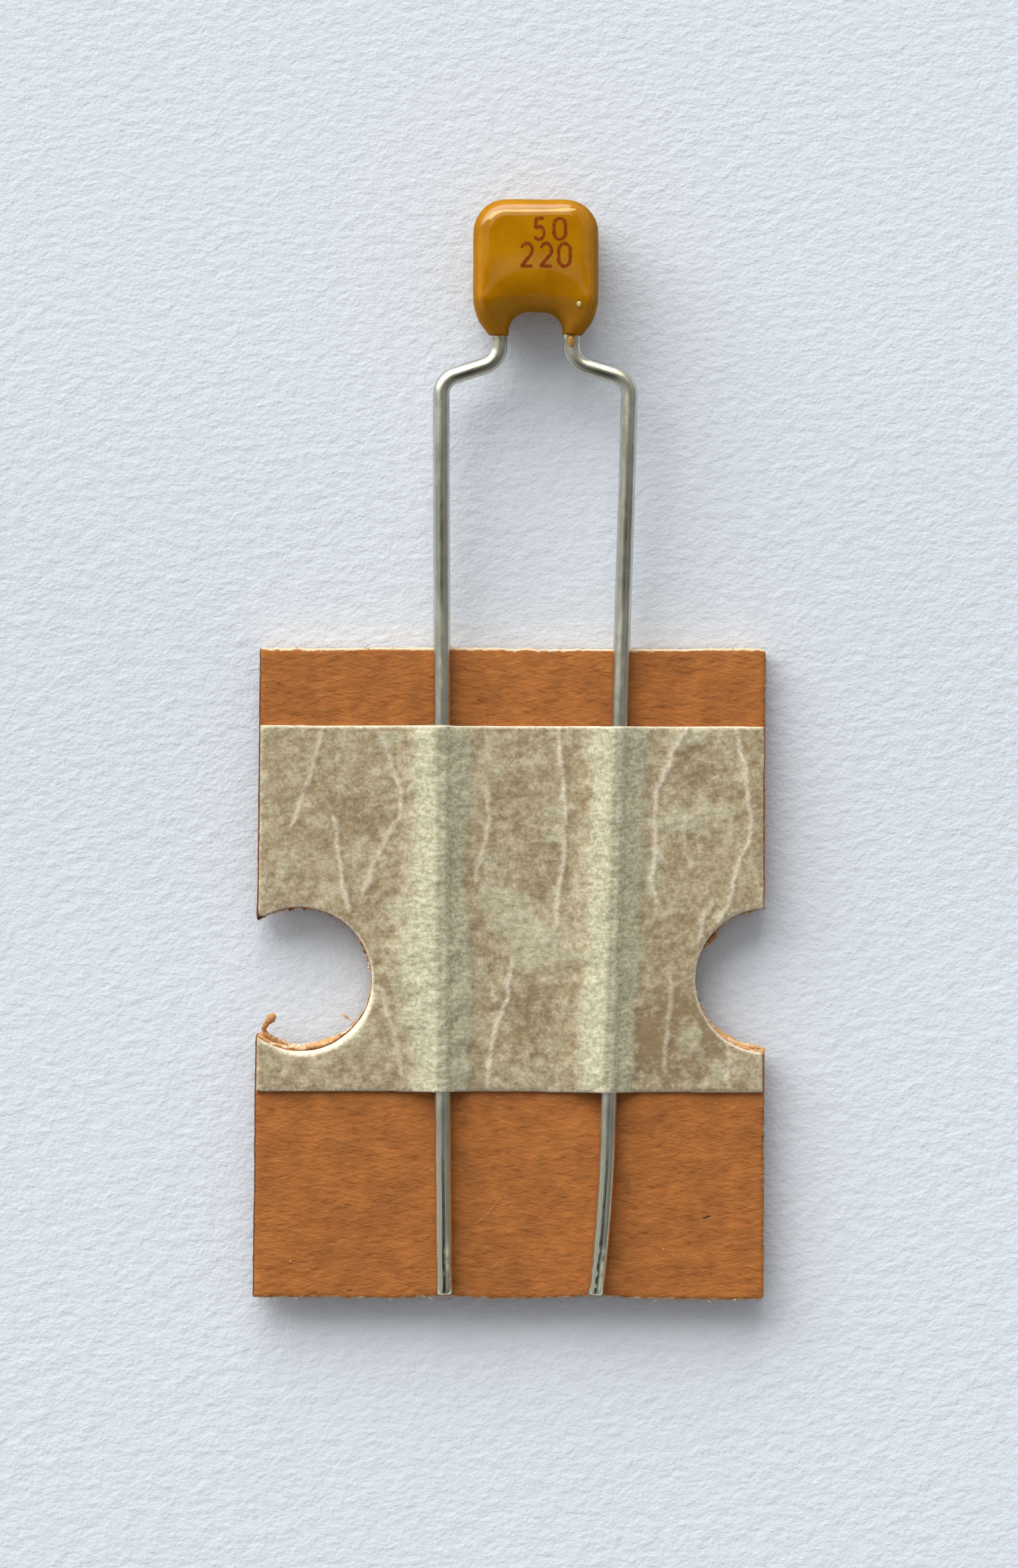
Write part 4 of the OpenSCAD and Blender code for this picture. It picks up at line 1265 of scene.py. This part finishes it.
class CAP_OT_stage(bpy.types.Operator):
    """Builds the floor, the lamps, the world and the camera"""
    bl_idname = "capacitor.stage"
    bl_label = "Stage"

    def execute(self, context):
        s, scene = settings("stage"), context.scene
        self.floor(s)
        self.world(scene, s)
        for name, values in LAMPS.items():
            self.lamp(scene, name, *values)
        data = bpy.data.cameras.new("camera")
        scene.camera = bpy.data.objects.new("camera", data)
        scene.collection.objects.link(scene.camera)
        scene.camera.location = (s.aim_x * MM, s.aim_y * MM, s.height * MM)
        scene.camera.rotation_euler = (0, 0, s.roll)
        data.sensor_width = 36
        data.lens = data.sensor_width * (s.height - STRIP_HIGH[2]) / (s.frame_w * VIEW_TALL)
        data.clip_start, data.clip_end = 0.005, 10
        scene.view_settings.view_transform = "Standard"
        return {"FINISHED"}

    def floor(self, s):
        """Writing paper with a felt side: faint long waves from the felt, cool white."""
        half, columns = s.floor_size / 2, 5
        rows = [-half, *np.linspace(*PAPER_BEND, 41), half]
        points = [(x, y, -s.sag * (1 - rise(y, *PAPER_BEND)))
                  for y in rows for x in np.linspace(-half, half, columns)]
        corners = (0, 1, columns + 1, columns)
        faces = [[i + k for k in corners] for i in range(len(points) - columns) if (i + 1) % columns]
        piece = mesh_piece("paper_floor", points, faces)
        material, t = new_material("felt_marked_paper")
        felt = add(t, "TexNoise", {"Vector": mm_space(t, math.radians(7), (1.5, 1, 1)), "Detail": 4,
                                   "Scale": per_mm(0.26), "Roughness": 0.55})
        tooth = add(t, "TexNoise", {"Vector": mm_space(t), "Scale": per_mm(0.10), "Detail": 2})
        height = add(t, "Math", (tooth, 0.35, felt), operation="MULTIPLY_ADD")
        shade = add(t, "MapRange", (felt, 0.3, 0.7, 0.97, 1.02))
        shader = add(t, "BsdfPrincipled", {
            "Base Color": add(t, "VectorMath", (s.paper, shade), operation="MULTIPLY"),
            "Roughness": 0.9, "Specular IOR Level": 0.15,
            "Normal": add(t, "Bump", {"Height": height, "Strength": 1.0, "Distance": 0.04 * MM})})
        add(t, "OutputMaterial", {"Surface": shader})
        piece.data.materials.append(material)

    def world(self, scene, s):
        """An even sky for the light on surfaces, and the pale backdrop for what is seen and mirrored."""
        scene.world = bpy.data.worlds.new("studio")
        scene.world.use_nodes = True
        t = scene.world.node_tree
        t.nodes.clear()
        seen, mirrored, through = (add(t, "LightPath", out=f"Is {kind} Ray")
                                   for kind in ("Camera", "Glossy", "Transmission"))
        shown = add(t, "Math", (add(t, "Math", (seen, mirrored)), through))
        shown = add(t, "Math", (shown, 1.0), operation="MINIMUM")
        ray = add(t, "TexCoord", out="Generated")
        x, y, z = (add(t, "SeparateXYZ", (ray,), out=axis) for axis in "XYZ")
        # The room is lighter on the window's side and dimmer overhead than around the horizon
        facing = add(t, "VectorMath", (ray, (-0.5, 0.87, 0)), out="Value", operation="DOT_PRODUCT")
        room = add(t, "MapRange", (facing, -0.9, 0.9, 0.43, 0.90))
        room = add(t, "Math", (room, add(t, "MapRange", (z, 0, 1, 1.0, 0.45))), operation="MULTIPLY")
        # Gloss shows a dim ceiling, dimmer away from the window, with the shade overhead
        ceiling = add(t, "MapRange", (z, 0.15, 0.6, 0.46, 0.42))
        dim = add(t, "MapRange", (facing, -0.6, 0.0, 0.4, 1.0))
        level = add(t, "Math", (ceiling, dim), operation="MULTIPLY")
        across, up = (add(t, "Math", (axis, z), operation="DIVIDE") for axis in (x, y))
        for half_x, middle_y, half_y, soft in SHADE:
            off_x = add(t, "Math", (across, 1 / half_x), operation="MULTIPLY")
            off_y = add(t, "Math", (up, 1 / half_y, -middle_y / half_y), operation="MULTIPLY_ADD")
            off_x, off_y = (add(t, "Math", (off,), operation="ABSOLUTE") for off in (off_x, off_y))
            off = add(t, "Math", (off_x, off_y), operation="MAXIMUM")
            shade = add(t, "MapRange", (off, 1 - soft, 1 + soft, 0.08, 1.0))
            level = add(t, "Math", (level, shade), operation="MULTIPLY")
        sky, backdrop, gloss = (add(t, "Background", values) for values in (
            ((0.97, 0.985, 1.0), room), (s.backdrop, 1.0), ((1.0, 0.985, 0.92), level)))
        pictured = add(t, "MixShader", (seen, gloss, backdrop))
        add(t, "OutputWorld", {"Surface": add(t, "MixShader", (shown, sky, pictured))})

    def lamp(self, scene, name, azimuth, height, wide, tall, radiance, colour, lights):
        """A square lamp that faces the part."""
        data = bpy.data.lights.new(name, "AREA")
        data.shape = "RECTANGLE"
        data.size, data.size_y = (2 * LAMP_FAR * math.tan(math.radians(side / 2)) for side in (wide, tall))
        data.energy = radiance * math.pi * data.size * data.size_y
        data.color = colour
        lamp = bpy.data.objects.new(name, data)
        scene.collection.objects.link(lamp)
        a, h = math.radians(azimuth), math.radians(height)
        ray = Vector((math.cos(h) * math.cos(a), math.cos(h) * math.sin(a), math.sin(h)))
        lamp.location = ray * LAMP_FAR + Vector((0, 6 * MM, 0))
        lamp.rotation_euler = ray.to_track_quat("Z", "Y").to_euler()
        lamp.visible_camera = False
        lamp.visible_diffuse = lights


OPERATORS = (CAP_OT_strip, CAP_OT_tape, CAP_OT_leads, CAP_OT_coating, CAP_OT_inside, CAP_OT_stage)


class CAP_PT_panel(bpy.types.Panel):
    """Lists the builders and their sizes and colours"""
    bl_idname = "CAP_PT_panel"
    bl_label = "Radial capacitor"
    bl_space_type = "VIEW_3D"
    bl_region_type = "UI"
    bl_category = "Capacitor"

    def draw(self, context):
        for operator in OPERATORS:
            self.layout.operator(operator.bl_idname)
        for key, group in GROUPS.items():
            box = self.layout.box()
            box.label(text=group.__doc__)
            for prop in group.__annotations__:
                box.prop(getattr(context.scene.capacitor, key), prop)


CLASSES = (*GROUPS.values(), CAP_PG_capacitor, *OPERATORS, CAP_PT_panel)


def register():
    """Registers the classes and hangs the settings on the scene."""
    for cls in CLASSES:
        bpy.utils.register_class(cls)
    bpy.types.Scene.capacitor = bpy.props.PointerProperty(type=CAP_PG_capacitor)


def unregister():
    """Takes the settings and the classes away again."""
    del bpy.types.Scene.capacitor
    for cls in reversed(CLASSES):
        bpy.utils.unregister_class(cls)


def main():
    """Builds every piece."""
    register()
    for operator in OPERATORS:
        group, name = operator.bl_idname.split(".")
        getattr(getattr(bpy.ops, group), name)()
    bpy.context.view_layer.update()


if __name__ == "__main__":
    main()
